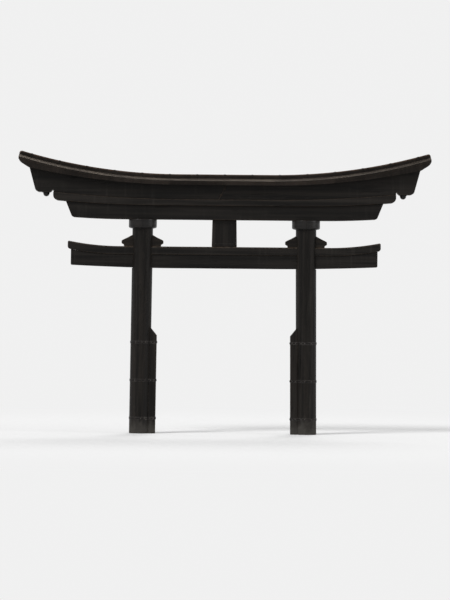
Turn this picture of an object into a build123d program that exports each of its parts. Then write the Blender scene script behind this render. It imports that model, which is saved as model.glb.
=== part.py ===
from build123d import *
import math
import os

# Torii gate, a timber shrine gate of the Myojin kind, in millimetres.
# +X runs along the gate to the right, +Y to the back and +Z up.
# The origin is the centre of the left pillar's foot, at ground level.

# Seating between pieces that bear on each other
bed_gap = 0.3

# Pillars: round trunks that lean in towards each other
foot_spacing = 3636.0
pillar_diameter = 448.0
pillar_lean = 0.5

# Jambs: half-height posts coped to the inner sides of the pillars
jamb_projection = 122.0
jamb_width = 250.0
jamb_height = 2136.0
jamb_top_rise = 151.0
jamb_edge = 8.0

# Iron straps round a pillar and its jamb
strap_height = 56.0
strap_thickness = 7.0
strap_foot_level = 330.0
strap_head_margin = 151.0

# Tie beam (nuki) and the timber that caps it
nuki_underside = 3600.0
nuki_depth = 298.0
nuki_width = 160.0
nuki_reach = 1522.0
nuki_underside_level_half = 1003.0
nuki_underside_rise = 56.0
nuki_cap_depth = 174.0
nuki_cap_width = 216.0
nuki_cap_overhang = 68.0
nuki_cap_weathering = 26.0
nuki_cap_nose = 40.0
nuki_rise = 100.0
mortise_gap = 1.0

# Wedges driven in over the tie beam
wedge_reach = 232.0
wedge_height = 245.0
wedge_foot_reach = 183.0
wedge_foot_height = 36.0
wedge_nose_height = 92.0
wedge_nose_depth = 50.0
wedge_nose_radius = 26.0
wedge_width = 150.0
wedge_tongue_length = 150.0
wedge_tongue_depth = 64.0

# Strut (gakuzuka) between tie beam and lintel
strut_height = 586.0
strut_width_top = 526.0
strut_width_foot = 548.0
strut_thickness = 180.0
strut_tenon_width = 160.0
strut_tenon_thickness = 60.0
strut_tenon_length = 60.0

# Rings (daiwa) round the pillar tops
ring_diameter = 612.0
ring_height = 196.0
ring_edge = 42.0
pillar_tenon = 130.0
pillar_tenon_length = 120.0

# Lower lintel (shimaki)
shimaki_width = 320.0
shimaki_depth = 310.0
shimaki_reach = 1497.0
shimaki_underside_rise = 40.0
shimaki_level_half = 1526.0
shimaki_rise = 98.0
shimaki_end_slope = 0.42
shimaki_end_radius = 45.0

# Bed board between the two lintels
bed_board_depth = 130.0
bed_board_width = 440.0
bed_board_overhang = 413.0
bed_board_radius = 75.0
bed_board_level_half = 1003.0
bed_board_rise = 140.0

# Upper lintel (kasagi), in two lengths
kasagi_depth = 310.0
kasagi_width = 364.0
kasagi_overhang = 380.0
kasagi_end_slope = 0.27
kasagi_end_radius = 95.0
kasagi_scarf_run = 260.0
kasagi_notch_height = 50.0
kasagi_notch_top = 20.0
kasagi_notch_foot = 64.0

# Turned drops under the ends of the upper lintel
drop_inset = 221.0
drop_collar_diameter = 176.0
drop_collar_height = 16.0
drop_diameter = 136.0
drop_length = 96.0

# Roof over the upper lintel
roof_half_width = 372.0
roof_overhang = 372.0
roof_level_half = 1003.0
roof_rise = 500.0
roof_pitch = 0.27
roof_board = 46.0
roof_height = 182.0
eave_level_half = 1003.0
eave_rise = 322.0
eave_thickness = 42.0
nose_lift = 143.0
nose_radius = 150.0
roof_end_board = 44.0
ridge_cap_height = 62.0
ridge_cap_width = 168.0
ridge_cap_edge = 24.0
ridge_cap_end_radius = 34.0

# Lengths and heights that follow from the sizes above
nuki_half_length = foot_spacing / 2 + nuki_reach
nuki_level_half = foot_spacing / 2 + pillar_diameter / 2 + wedge_reach
shimaki_underside = nuki_underside + nuki_depth + nuki_cap_depth + strut_height
shimaki_half_length = foot_spacing / 2 + shimaki_reach
shimaki_underside_level_half = foot_spacing / 2 + ring_diameter / 2
bed_board_half_length = shimaki_half_length + bed_board_overhang
kasagi_half_length = bed_board_half_length + kasagi_overhang
roof_half_length = kasagi_half_length + roof_overhang
strap_head_level = jamb_height - strap_head_margin
strap_levels = {
    "low": strap_foot_level,
    "middle": (strap_foot_level + strap_head_level) / 2,
    "high": strap_head_level,
}

# Blocks that cut pieces reach this far, well past the gate
clear_reach = 4 * foot_spacing

# How near an edge's middle lies to the place that picks it out, and how true it runs
same_place = 1.0
same_way = 0.99

# How much of the room beside it a nose's rounding may take
nose_room = 0.95

# How often the meeting point of the eave line and the upper lintel's end is closed in on
closing_steps = 6


class Bow:
    """A line along the gate that is level over its middle and rises in one arc to each end."""

    def __init__(self, height, level_half, radius):
        self.height = height
        self.level_half = level_half
        self.radius = radius

    def z(self, x):
        beyond = max(abs(x) - self.level_half, 0.0)
        return self.height + self.radius - math.sqrt(self.radius**2 - beyond**2)

    def point(self, x):
        return (x, 0, self.z(x))

    def moved(self, up):
        """The same line at another height, with the same arcs."""
        return Bow(self.height + up, self.level_half, self.radius)

    def edges(self, start, end):
        """Its straight and arc edges from x = start to x = end."""
        low, high = min(start, end), max(start, end)
        breaks = [x for x in (-self.level_half, self.level_half) if low < x < high]
        stops = [low, *breaks, high]
        made = []
        for a, b in zip(stops, stops[1:]):
            middle = (a + b) / 2
            if abs(middle) < self.level_half:
                made.append(Line(self.point(a), self.point(b)))
            else:
                made.append(ThreePointArc(self.point(a), self.point(middle), self.point(b)))
        return made


def bow_to(height, level_half, rise, half_length):
    """The bowed line that has risen by a given amount at a given distance from the middle."""
    run = half_length - level_half
    return Bow(height, level_half, (run**2 + rise**2) / (2 * rise))


def band(low, high, end):
    """The edges round the strip between two bowed lines, square at both ends."""
    return [
        *low.edges(-end, end),
        Line(low.point(end), high.point(end)),
        *high.edges(-end, end),
        Line(low.point(-end), high.point(-end)),
    ]


def elevation(edges):
    """The face inside closed edges that lie in the gate's middle plane."""
    wire = Wire.combine([edge for piece in edges for edge in piece.edges()])[0]
    return Face(wire)


def slab(face, width):
    """A face of the elevation carried the same distance to front and back."""
    at_front = face.moved(Location((0, -width / 2, 0)))
    return Solid.extrude(at_front, (0, width, 0))


def sloped_slab(face, run, pitch):
    """A face of the elevation carried towards +Y or -Y while it sinks at the roof's pitch."""
    return Solid.extrude(face, (0, run, -abs(run) * pitch))


def fillet_along_y(solid, radius, *places):
    """Rounds the edges that run along Y through the given (x, z) places."""
    chosen = []
    for x, z in places:
        for edge in solid.edges():
            middle = edge.center()
            near = math.hypot(middle.X - x, middle.Z - z) < same_place
            if near and abs(edge.tangent_at(0.5).Y) > same_way:
                chosen.append(edge)
    return fillet(chosen, radius)


def mirrored(solid):
    """The matching piece at the other end of the gate."""
    return solid.mirror(Plane.YZ)


# Heights that the stack of pieces shares
nuki_bottom = bow_to(nuki_underside, nuki_underside_level_half, nuki_underside_rise, nuki_half_length)
nuki_seam = bow_to(nuki_underside + nuki_depth, nuki_level_half, nuki_rise, nuki_half_length)
nuki_cap_top = nuki_seam.moved(nuki_cap_depth)
shimaki_bottom = bow_to(
    shimaki_underside, shimaki_underside_level_half, shimaki_underside_rise, shimaki_half_length
)
shimaki_top = bow_to(
    shimaki_underside + shimaki_depth, shimaki_level_half, shimaki_rise, bed_board_half_length
)
bed_board_top = bow_to(
    shimaki_top.height + bed_board_depth, bed_board_level_half, bed_board_rise, bed_board_half_length
)
kasagi_end_foot = bed_board_top.z(bed_board_half_length)
eave_line = bow_to(bed_board_top.height + kasagi_depth, eave_level_half, eave_rise, kasagi_half_length)
ridge_line = bow_to(eave_line.height + roof_height, roof_level_half, roof_rise, roof_half_length)
roof_underside = ridge_line.moved(-roof_board)
roof_half_board = roof_half_width - eave_thickness


def pillar_place(side):
    """Where a pillar stands and leans: side is -1 at the left and 1 at the right."""
    return Location((side * foot_spacing / 2, 0, 0), (0, -side * pillar_lean, 0))


def pillar_axis_x(side, height):
    return side * (foot_spacing / 2 - height * math.tan(math.radians(pillar_lean)))


def level_band(low, high):
    """A block wider than the gate between two heights, which cuts pieces level."""
    return Pos(0, 0, (low + high) / 2) * Box(clear_reach, clear_reach, high - low)


def mortise(side):
    """The stepped hole through a pillar for the tie beam, its cap and the wedges' tongues."""
    x = pillar_axis_x(side, nuki_underside)
    reach = 2 * pillar_diameter
    steps = [
        (nuki_width, nuki_underside, nuki_underside + nuki_depth - mortise_gap),
        (nuki_cap_width, nuki_underside + nuki_depth - mortise_gap, nuki_cap_top.height),
        (wedge_width, nuki_cap_top.height, nuki_cap_top.height + wedge_tongue_depth + mortise_gap),
    ]
    hole = Part()
    for width, low, high in steps:
        hole += Pos(x, 0, (low + high) / 2) * Box(reach, width + 2 * mortise_gap, high - low)
    return hole


def pillar_tenon_block(side, gap):
    """The tenon on a pillar's top, or with a gap the mortise that takes it."""
    x = pillar_axis_x(side, shimaki_underside)
    length = pillar_tenon_length + gap
    width = pillar_tenon + 2 * gap
    return Pos(x, 0, shimaki_underside - bed_gap + length / 2) * Box(width, width, length)


def pillar(side):
    top = shimaki_underside - bed_gap
    trunk = pillar_place(side) * Pos(0, 0, top / 2) * Cylinder(pillar_diameter / 2, 2 * top)
    return trunk & level_band(0, top)


def finished_pillar(side):
    return pillar(side) - mortise(side) + pillar_tenon_block(side, 0)


def daiwa(side):
    top = shimaki_underside - bed_gap
    outer = Cylinder(ring_diameter / 2, ring_height, align=(Align.CENTER, Align.CENTER, Align.MAX))
    low_rim = outer.edges().filter_by(GeomType.CIRCLE).sort_by(Axis.Z)[0]
    outer = fillet(low_rim, ring_edge)
    outer = Pos(pillar_axis_x(side, top), 0, top) * outer
    bore = Cylinder(pillar_diameter / 2 + bed_gap, 2 * top)
    bore = pillar_place(side) * Pos(0, 0, top) * bore
    return outer - bore


def jamb_block(side, grow):
    """The jamb before its top is cut, or with a growth the space that a strap goes round."""
    half = pillar_diameter / 2
    width = jamb_width + 2 * grow
    reach = half + jamb_projection + grow
    return Pos(-side * reach / 2, 0, 0) * Box(reach, width, clear_reach)


def jamb(side):
    """A post coped to the pillar, with a top that falls away from it."""
    half = pillar_diameter / 2
    inner = half + jamb_projection
    block = jamb_block(side, 0)
    upright = block.edges().filter_by(Axis.Z)
    inner_edges = upright.sort_by(Axis.X)[:2] if side > 0 else upright.sort_by(Axis.X)[-2:]
    block = chamfer(inner_edges, jamb_edge)
    slope = jamb_top_rise / jamb_projection
    crown = jamb_height + slope * inner
    side_view = [
        Line((0, 0, -jamb_height), (-side * inner, 0, -jamb_height)),
        Line((-side * inner, 0, -jamb_height), (-side * inner, 0, jamb_height)),
        Line((-side * inner, 0, jamb_height), (0, 0, crown)),
        Line((0, 0, crown), (0, 0, -jamb_height)),
    ]
    block = block & slab(elevation(side_view), 2 * jamb_width)
    block -= Cylinder(half + bed_gap, clear_reach)
    return (pillar_place(side) * block) & level_band(0, 2 * jamb_height)


def strap(side, level):
    """One iron band round a pillar and its jamb."""
    half = pillar_diameter / 2
    outer = Cylinder(half + bed_gap + strap_thickness, strap_height)
    inner = Cylinder(half + bed_gap, strap_height)
    slice_of = Box(clear_reach, clear_reach, strap_height)
    outer += jamb_block(side, bed_gap + strap_thickness) & slice_of
    inner += jamb_block(side, bed_gap) & slice_of
    return pillar_place(side) * Pos(0, 0, level) * (outer - inner)


def nuki():
    return slab(elevation(band(nuki_bottom, nuki_seam, nuki_half_length)), nuki_width)


def nuki_cap():
    """The capping timber, weathered along both upper edges and rounded under its noses."""
    end = nuki_half_length + nuki_cap_overhang
    low = nuki_seam.moved(bed_gap)
    cap = slab(elevation(band(low, nuki_cap_top, end)), nuki_cap_width)
    cap = fillet_along_y(cap, nuki_cap_nose, (end, low.z(end)), (-end, low.z(end)))
    above = elevation(band(nuki_cap_top, nuki_cap_top.moved(nuki_cap_depth), end))
    flat_half = nuki_cap_width / 2 - nuki_cap_weathering
    for way in (-1, 1):
        start = above.moved(Location((0, way * flat_half, 0)))
        cap -= sloped_slab(start, way * 2 * nuki_cap_weathering, 1)
    return cap - strut_tenon_block(nuki_cap_top.height, -1, mortise_gap)


def wedge(side, way):
    """A wedge beside a pillar: way is 1 towards the gate's end and -1 towards its middle."""
    seat = nuki_cap_top.height + bed_gap
    nose_low = seat + wedge_nose_height - wedge_nose_depth / 2
    nose_top = seat + wedge_nose_height + wedge_nose_depth / 2
    face = pillar_diameter / 2
    axis = abs(pillar_axis_x(side, seat))
    outline = Polyline(
        (0, 0, seat),
        (face + wedge_foot_reach, 0, seat),
        (face + wedge_foot_reach, 0, seat + wedge_foot_height),
        (face + wedge_reach, 0, nose_low),
        (face + wedge_reach, 0, nose_top),
        (face, 0, seat + wedge_height),
        (0, 0, seat + wedge_height),
        close=True,
    )
    block = slab(elevation([outline]), wedge_width)
    nose = [(face + wedge_reach, nose_low), (face + wedge_reach, nose_top)]
    block = fillet_along_y(block, wedge_nose_radius, *nose)
    if way < 0:
        block = mirrored(block)
    block = Pos(axis, 0, 0) * block
    if side < 0:
        block = mirrored(block)
    block -= pillar_place(side) * Cylinder(face + bed_gap, clear_reach)
    length = wedge_tongue_length + wedge_foot_reach / 2
    middle = side * (axis + way * (face - wedge_tongue_length + length / 2))
    tongue = Box(length, wedge_width, wedge_tongue_depth, align=(Align.CENTER, Align.CENTER, Align.MIN))
    return block + Pos(middle, 0, seat) * tongue


def strut_tenon_block(height, way, gap):
    """A tenon of the strut that goes up (1) or down (-1) from a height."""
    length = strut_tenon_length + gap
    return Pos(0, 0, height + way * length / 2) * Box(
        strut_tenon_width + 2 * gap, strut_tenon_thickness + 2 * gap, length
    )


def gakuzuka():
    low = nuki_cap_top.height + bed_gap
    high = shimaki_underside - bed_gap
    foot, top = strut_width_foot / 2, strut_width_top / 2
    outline = Polyline((-foot, 0, low), (foot, 0, low), (top, 0, high), (-top, 0, high), close=True)
    body = slab(elevation([outline]), strut_thickness)
    body += strut_tenon_block(low, -1, 0)
    body += strut_tenon_block(high, 1, 0)
    return body


def shimaki():
    end = shimaki_half_length
    high = shimaki_top.moved(-bed_gap)
    top_end = end + shimaki_end_slope * (high.z(end) - shimaki_bottom.z(end))
    outline = [
        *shimaki_bottom.edges(-end, end),
        Line(shimaki_bottom.point(end), high.point(top_end)),
        *high.edges(-top_end, top_end),
        Line(shimaki_bottom.point(-end), high.point(-top_end)),
    ]
    beam = slab(elevation(outline), shimaki_width)
    corner = shimaki_bottom.z(end)
    beam = fillet_along_y(beam, shimaki_end_radius, (end, corner), (-end, corner))
    for side in (-1, 1):
        beam -= pillar_tenon_block(side, mortise_gap)
    return beam - strut_tenon_block(shimaki_underside, 1, mortise_gap)


def bed_board():
    end = bed_board_half_length
    board = slab(elevation(band(shimaki_top, bed_board_top.moved(-bed_gap), end)), bed_board_width)
    corner = shimaki_top.z(end)
    return fillet_along_y(board, bed_board_radius, (end, corner), (-end, corner))


def kasagi_end_x(height):
    """How far the upper lintel's slanted end reaches at a height."""
    return kasagi_half_length + kasagi_end_slope * (height - kasagi_end_foot)


def nose_start():
    """Where the eave line meets the upper lintel's slanted end, found by closing in on it."""
    x = kasagi_half_length
    for _ in range(closing_steps):
        x = kasagi_end_x(eave_line.z(x))
    return x


def above_roof_boards():
    """The two blocks over the underside of the roof's slopes."""
    low = roof_underside.moved(-bed_gap)
    end = roof_half_length + roof_height
    level = low.z(end) + 2 * roof_height
    top = [
        Line(low.point(end), (end, 0, level)),
        Line((end, 0, level), (-end, 0, level)),
        Line((-end, 0, level), low.point(-end)),
    ]
    over = elevation([*low.edges(-end, end), *top])
    return [sloped_slab(over, way * roof_half_width, roof_pitch) for way in (-1, 1)]


def kasagi(side):
    """One length of the upper lintel: gabled above, slanted at its end, and notched past the bed board."""
    low = bed_board_top
    notch_x = bed_board_half_length
    notch_z = kasagi_end_foot + kasagi_notch_height
    crown = ridge_line.z(roof_half_length)
    scarf_foot = (side * bed_gap - kasagi_scarf_run) / 2
    scarf_top = (side * bed_gap + kasagi_scarf_run) / 2
    outline = [
        *low.edges(scarf_foot, side * notch_x),
        Polyline(
            low.point(side * notch_x),
            (side * notch_x, 0, notch_z),
            (side * (notch_x + kasagi_notch_top), 0, notch_z),
            (side * (notch_x + kasagi_notch_foot), 0, kasagi_end_foot),
            (side * kasagi_half_length, 0, kasagi_end_foot),
            (side * kasagi_end_x(crown), 0, crown),
        ),
        Line((side * kasagi_end_x(crown), 0, crown), (scarf_top, 0, crown)),
        Line((scarf_top, 0, crown), (scarf_top, 0, ridge_line.height)),
        Line((scarf_top, 0, ridge_line.height), low.point(scarf_foot)),
    ]
    beam = slab(elevation(outline), kasagi_width)
    beam = fillet_along_y(beam, kasagi_end_radius, (side * kasagi_half_length, kasagi_end_foot))
    for block in above_roof_boards():
        beam -= block
    return beam


def drop(side):
    """A turned drop under the upper lintel's end: a thin collar and a round foot."""
    x = side * (kasagi_half_length - drop_inset)
    seat = kasagi_end_foot - bed_gap
    collar, widest = drop_collar_diameter / 2, drop_diameter / 2
    collar_foot = kasagi_end_foot - drop_collar_height
    foot = kasagi_end_foot - drop_length
    height = collar_foot - foot
    radius = (widest**2 + height**2) / (2 * height)
    half_way = (math.atan2(height - radius, widest) - math.pi / 2) / 2
    profile = [
        Line((0, 0, foot), (0, 0, seat)),
        Line((0, 0, seat), (collar, 0, seat)),
        Line((collar, 0, seat), (collar, 0, collar_foot)),
        Line((collar, 0, collar_foot), (widest, 0, collar_foot)),
        ThreePointArc(
            (widest, 0, collar_foot),
            (radius * math.cos(half_way), 0, foot + radius + radius * math.sin(half_way)),
            (0, 0, foot),
        ),
    ]
    return Pos(x, 0, 0) * revolve(elevation(profile), Axis.Z)


def roof_slope(way):
    """One slope of the roof, from the ridge to the eave board, at the back (1) or the front (-1)."""
    boards = elevation(band(roof_underside, ridge_line, roof_half_length))
    boards = boards.moved(Location((0, way * bed_gap / 2, 0)))
    return sloped_slab(boards, way * (roof_half_board - bed_gap), roof_pitch)


def nose_outline(top):
    """The roof's outline in elevation, under a given top line, before its noses are rounded."""
    end = roof_half_length
    start = nose_start()
    corner = eave_line.z(start) + nose_lift
    return [
        *eave_line.edges(-start, start),
        Line(eave_line.point(start), (end, 0, corner)),
        Line((end, 0, corner), top.point(end)),
        *top.edges(-end, end),
        Line(top.point(-end), (-end, 0, corner)),
        Line((-end, 0, corner), eave_line.point(-start)),
    ]


def nose_round(top):
    """The radius that rounds a nose, as far as its two straight sides have room for it."""
    start = nose_start()
    run = roof_half_length - start
    turn = math.pi / 2 - math.atan2(nose_lift, run)
    corner = eave_line.z(start) + nose_lift
    room = min(top.z(roof_half_length) - corner, math.hypot(run, nose_lift))
    return min(nose_radius, nose_room * room / math.tan(turn / 2))


def eave(way):
    """The upright board along an eave, whose ends round up into noses."""
    top = ridge_line.moved(-roof_pitch * roof_half_board)
    corner = eave_line.z(nose_start()) + nose_lift
    board = slab(elevation(nose_outline(top)), eave_thickness)
    ends = [(roof_half_length, corner), (-roof_half_length, corner)]
    board = fillet_along_y(board, nose_round(top), *ends)
    return Pos(0, way * (roof_half_board + eave_thickness / 2), 0) * board


def ridge_cap():
    """The cap that straddles the two slopes, with its upper edges taken off."""
    top = ridge_line.moved(ridge_cap_height)
    low = ridge_line.moved(-roof_pitch * ridge_cap_width)
    cap = slab(elevation(band(low, top, roof_half_length)), ridge_cap_width)
    tips = [(side * roof_half_length, top.z(roof_half_length)) for side in (-1, 1)]
    cap = fillet_along_y(cap, ridge_cap_end_radius, *tips)
    above = elevation(band(top, top.moved(ridge_cap_height), roof_half_length))
    under = elevation(band(ridge_line.moved(-2 * roof_height), ridge_line.moved(bed_gap), roof_half_length))
    for way in (-1, 1):
        cap -= sloped_slab(under, way * ridge_cap_width, roof_pitch)
        start = above.moved(Location((0, way * (ridge_cap_width / 2 - ridge_cap_edge), 0)))
        cap -= sloped_slab(start, way * 2 * ridge_cap_edge, 1)
    return cap


def roof_end(side):
    """The bent board that closes the roof's end between the two eave boards."""
    start = nose_start()
    corner = eave_line.z(start) + nose_lift
    crown = ridge_line.z(roof_half_length) + roof_height
    outer = Polyline(
        (0, 0, eave_line.z(start)),
        (start, 0, eave_line.z(start)),
        (roof_half_length, 0, corner),
        (roof_half_length, 0, crown),
        (0, 0, crown),
        close=True,
    )
    board = slab(elevation([outer]), 2 * (roof_half_board - bed_gap))
    radius = nose_round(ridge_line.moved(-roof_pitch * roof_half_board))
    board = fillet_along_y(board, radius, (roof_half_length, corner))
    hollow = Polyline(
        (0, 0, eave_line.z(start) + roof_end_board),
        (start, 0, eave_line.z(start) + roof_end_board),
        (roof_half_length - roof_end_board, 0, corner + roof_end_board),
        (roof_half_length - roof_end_board, 0, crown),
        (0, 0, crown),
        close=True,
    )
    inside = slab(elevation([hollow]), 2 * roof_half_width)
    inner_corner = (roof_half_length - roof_end_board, corner + roof_end_board)
    inside = fillet_along_y(inside, radius - roof_end_board, inner_corner)
    board -= inside
    lintel = Polyline(
        (0, 0, kasagi_end_foot),
        (kasagi_half_length + bed_gap, 0, kasagi_end_foot),
        (kasagi_end_x(crown) + bed_gap, 0, crown),
        (0, 0, crown),
        close=True,
    )
    board -= slab(elevation([lintel]), 2 * roof_half_width)
    for block in above_roof_boards():
        board -= block
    return board if side > 0 else mirrored(board)


def write(name, solid):
    """Moves a piece from the gate's middle to the row's origin and writes it."""
    placed = solid.moved(Location((foot_spacing / 2, 0, 0)))
    export_step(placed, f"parts/{name}.step")


if __name__ == "__main__":
    os.makedirs("parts", exist_ok=True)
    sides = {"left": -1, "right": 1}
    for word, side in sides.items():
        write(f"pillar_{word}", finished_pillar(side))
        write(f"jamb_{word}", jamb(side))
        write(f"daiwa_{word}", daiwa(side))
        write(f"wedge_{word}_outer", wedge(side, 1))
        write(f"wedge_{word}_inner", wedge(side, -1))
        for place, level in strap_levels.items():
            write(f"strap_{word}_{place}", strap(side, level))
    write("nuki", nuki())
    write("nuki_cap", nuki_cap())
    write("gakuzuka", gakuzuka())
    write("shimaki", shimaki())
    write("bed_board", bed_board())
    write("ridge_cap", ridge_cap())
    for word, side in sides.items():
        write(f"kasagi_{word}", kasagi(side))
        write(f"drop_{word}", drop(side))
        write(f"roof_end_{word}", roof_end(side))
    for word, way in {"front": -1, "rear": 1}.items():
        write(f"roof_{word}", roof_slope(way))
        write(f"eave_{word}", eave(way))
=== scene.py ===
# %% [markdown]
# # A shrine gate in black timber and copper
#
# Two round pillars carry a tie beam, two lintels and a small roof with upturned ends. Their solids are built
# already, and come in here as a frame, in metres: +X runs along the gate, +Y to the back and +Z up, and the
# origin lies under the left pillar. Nothing in the frame is moved. Each piece below is worked out with numpy
# in the same frame, takes the place of its solid and adds what the solid leaves out: rounded arrises, joints,
# drying checks, copper sheets and nails.

import math
from functools import reduce

import bmesh
import bpy
import numpy as np
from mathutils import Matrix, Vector


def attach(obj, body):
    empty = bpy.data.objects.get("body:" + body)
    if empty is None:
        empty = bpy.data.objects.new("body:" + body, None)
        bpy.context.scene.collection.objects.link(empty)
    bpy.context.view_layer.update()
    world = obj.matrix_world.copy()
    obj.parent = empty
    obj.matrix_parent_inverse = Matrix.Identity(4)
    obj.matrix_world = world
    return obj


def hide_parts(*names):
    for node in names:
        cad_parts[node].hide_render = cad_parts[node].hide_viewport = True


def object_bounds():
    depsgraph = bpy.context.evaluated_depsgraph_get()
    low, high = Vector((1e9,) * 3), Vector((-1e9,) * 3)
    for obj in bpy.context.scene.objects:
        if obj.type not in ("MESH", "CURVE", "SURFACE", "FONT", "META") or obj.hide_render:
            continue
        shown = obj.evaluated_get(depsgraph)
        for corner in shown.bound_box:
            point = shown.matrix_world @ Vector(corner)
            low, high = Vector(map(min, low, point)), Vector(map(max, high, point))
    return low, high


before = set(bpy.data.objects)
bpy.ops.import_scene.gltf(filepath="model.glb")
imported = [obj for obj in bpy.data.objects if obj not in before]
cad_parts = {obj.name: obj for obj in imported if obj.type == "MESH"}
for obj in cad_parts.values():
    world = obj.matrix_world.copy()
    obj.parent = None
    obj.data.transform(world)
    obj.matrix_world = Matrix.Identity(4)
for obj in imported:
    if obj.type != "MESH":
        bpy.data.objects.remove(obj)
cad_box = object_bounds()
print("solids:", len(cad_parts), "box:", [tuple(round(v, 3) for v in corner) for corner in cad_box])

# %% [markdown]
# ## Lines that sweep up
#
# Every long timber of such a gate is level over its middle and lifts towards its ends. A carpenter sets that
# line out with a template. Here it is a function of x, a level run and then one arc of a circle, because the
# solids follow the same arc. A free spline would look alike and lie some millimetres off them.

# %% The swept lines, in metres from the gate's middle
gate_middle = 1.818
both_sides, both_faces = ((-1, "left"), (1, "right")), ((-1, "front"), (1, "rear"))
tie_end, lintel_end, board_end, kasagi_end, roof_end_x = 3.340, 3.315, 3.728, 4.108, 4.480


def swept(height, level_half, rise, half_length):
    """Height of a swept line: height + R - sqrt(R^2 - beyond^2), where beyond is how far x lies past the
    level run, and R makes the line rise by the given amount at half_length."""
    run = half_length - level_half
    radius = (run**2 + rise**2) / (2 * rise)

    def line(x):
        """Level near the middle, and then along the arc."""
        beyond = np.maximum(np.abs(x) - level_half, 0)
        return height + radius - np.sqrt(radius**2 - beyond**2)

    return line


def lifted(line, up):
    """The same line, higher by up."""
    return lambda x: line(x) + up


tie_foot = swept(3.600, 1.003, 0.056, tie_end)
tie_top = swept(3.898, 2.274, 0.100, tie_end)
cap_top = lifted(tie_top, 0.174)
lintel_foot = swept(4.658, 2.124, 0.040, lintel_end)
lintel_top = swept(4.968, 1.526, 0.098, board_end)
board_level = 5.098
board_top = swept(board_level, 1.003, 0.140, board_end)
eave_foot = swept(5.408, 1.003, 0.322, kasagi_end)
ridge = swept(5.590, 1.003, 0.500, roof_end_x)
print("roof rises from", ridge(0.0), "to", round(float(ridge(roof_end_x)), 3))

# %% [markdown]
# ## From grids to meshes
#
# A surface here is a grid of points with two parameters. Whole grids are worked out at once, and many equal
# ones, such as nails, as one array. A piece joins its grids, welds them where their edges meet and checks
# that nothing is left open. Each point also carries two marks that the finishes read: how worn it is, and the
# tone of the board or sheet that it belongs to.

# %% Grids and their marks
def patch(points, worn=0.0, tone=0.5, closed=(False, False)):
    """The faces of a grid of points (rows, columns, 3), or of many equal grids (many, rows, columns, 3).
    closed says whether the last row meets the first, and the last column the first."""
    points = np.asarray(points, float)
    rows, columns = points.shape[-3:-1]
    points = points.reshape(-1, rows, columns, 3)
    grid = np.arange(rows * columns).reshape(rows, columns)
    grid = np.pad(grid, [(0, int(meets)) for meets in closed], mode="wrap")
    quads = np.stack([grid[:-1, :-1], grid[:-1, 1:], grid[1:, 1:], grid[1:, :-1]], axis=-1).reshape(-1, 4)
    first = np.arange(len(points))[:, None, None] * rows * columns
    return {
        "points": points.reshape(-1, 3),
        "quads": (quads + first).reshape(-1, 4),
        "worn": np.broadcast_to(worn, points.shape[:3]).ravel(),
        "tone": np.broadcast_to(tone, points.shape[:3]).ravel(),
    }


# %% Unevenness and marks
turn_round = 2 * math.pi


def unevenness(points, swing, wavelengths, seed):
    """Height of a hand-dressed surface: swing times the mean of seven sine waves in random directions, each
    as long along x, y and z as the wavelengths say."""
    draw = np.random.default_rng(seed)
    directions = draw.normal(size=(7, 3))
    directions /= np.linalg.norm(directions, axis=1, keepdims=True)
    phases = draw.uniform(0, turn_round, 7)
    waves = np.sin((points / wavelengths) @ directions.T * turn_round + phases)
    return swing * waves.mean(axis=1)


def mark(mesh, name, values, kind="FLOAT"):
    """Keeps one number or vector for each point of a mesh, for its finish to read."""
    attribute = mesh.attributes.get(name) or mesh.attributes.new(name, kind, "POINT")
    field = "value" if kind == "FLOAT" else "vector"
    attribute.data.foreach_set(field, np.asarray(values, np.float32).ravel())


# %% Joining grids
weld_distance = 2e-5


def joined(name, patches):
    """One mesh of many grids, welded, with its faces turned outwards, and the number of its open edges."""
    starts = np.cumsum([0] + [len(p["points"]) for p in patches])
    points = np.concatenate([p["points"] for p in patches])
    quads = np.concatenate([p["quads"] + start for p, start in zip(patches, starts)])
    mesh = bpy.data.meshes.new(name)
    mesh.vertices.add(len(points))
    mesh.vertices.foreach_set("co", points.ravel())
    mesh.loops.add(quads.size)
    mesh.loops.foreach_set("vertex_index", quads.ravel().astype(np.int32))
    mesh.polygons.add(len(quads))
    mesh.polygons.foreach_set("loop_start", np.arange(0, quads.size, 4, dtype=np.int32))
    mesh.update(calc_edges=True)
    for field in ("worn", "tone"):
        mark(mesh, field, np.concatenate([p[field] for p in patches]))

    work = bmesh.new()
    work.from_mesh(mesh)
    bmesh.ops.remove_doubles(work, verts=work.verts, dist=weld_distance)
    bmesh.ops.dissolve_degenerate(work, edges=work.edges, dist=weld_distance / 4)
    bmesh.ops.recalc_face_normals(work, faces=work.faces)
    open_edges = sum(not edge.is_manifold for edge in work.edges)
    work.to_mesh(mesh)
    work.free()
    return mesh, open_edges


# %% Pieces
crease = math.radians(38)
made_faces = {}


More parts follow.
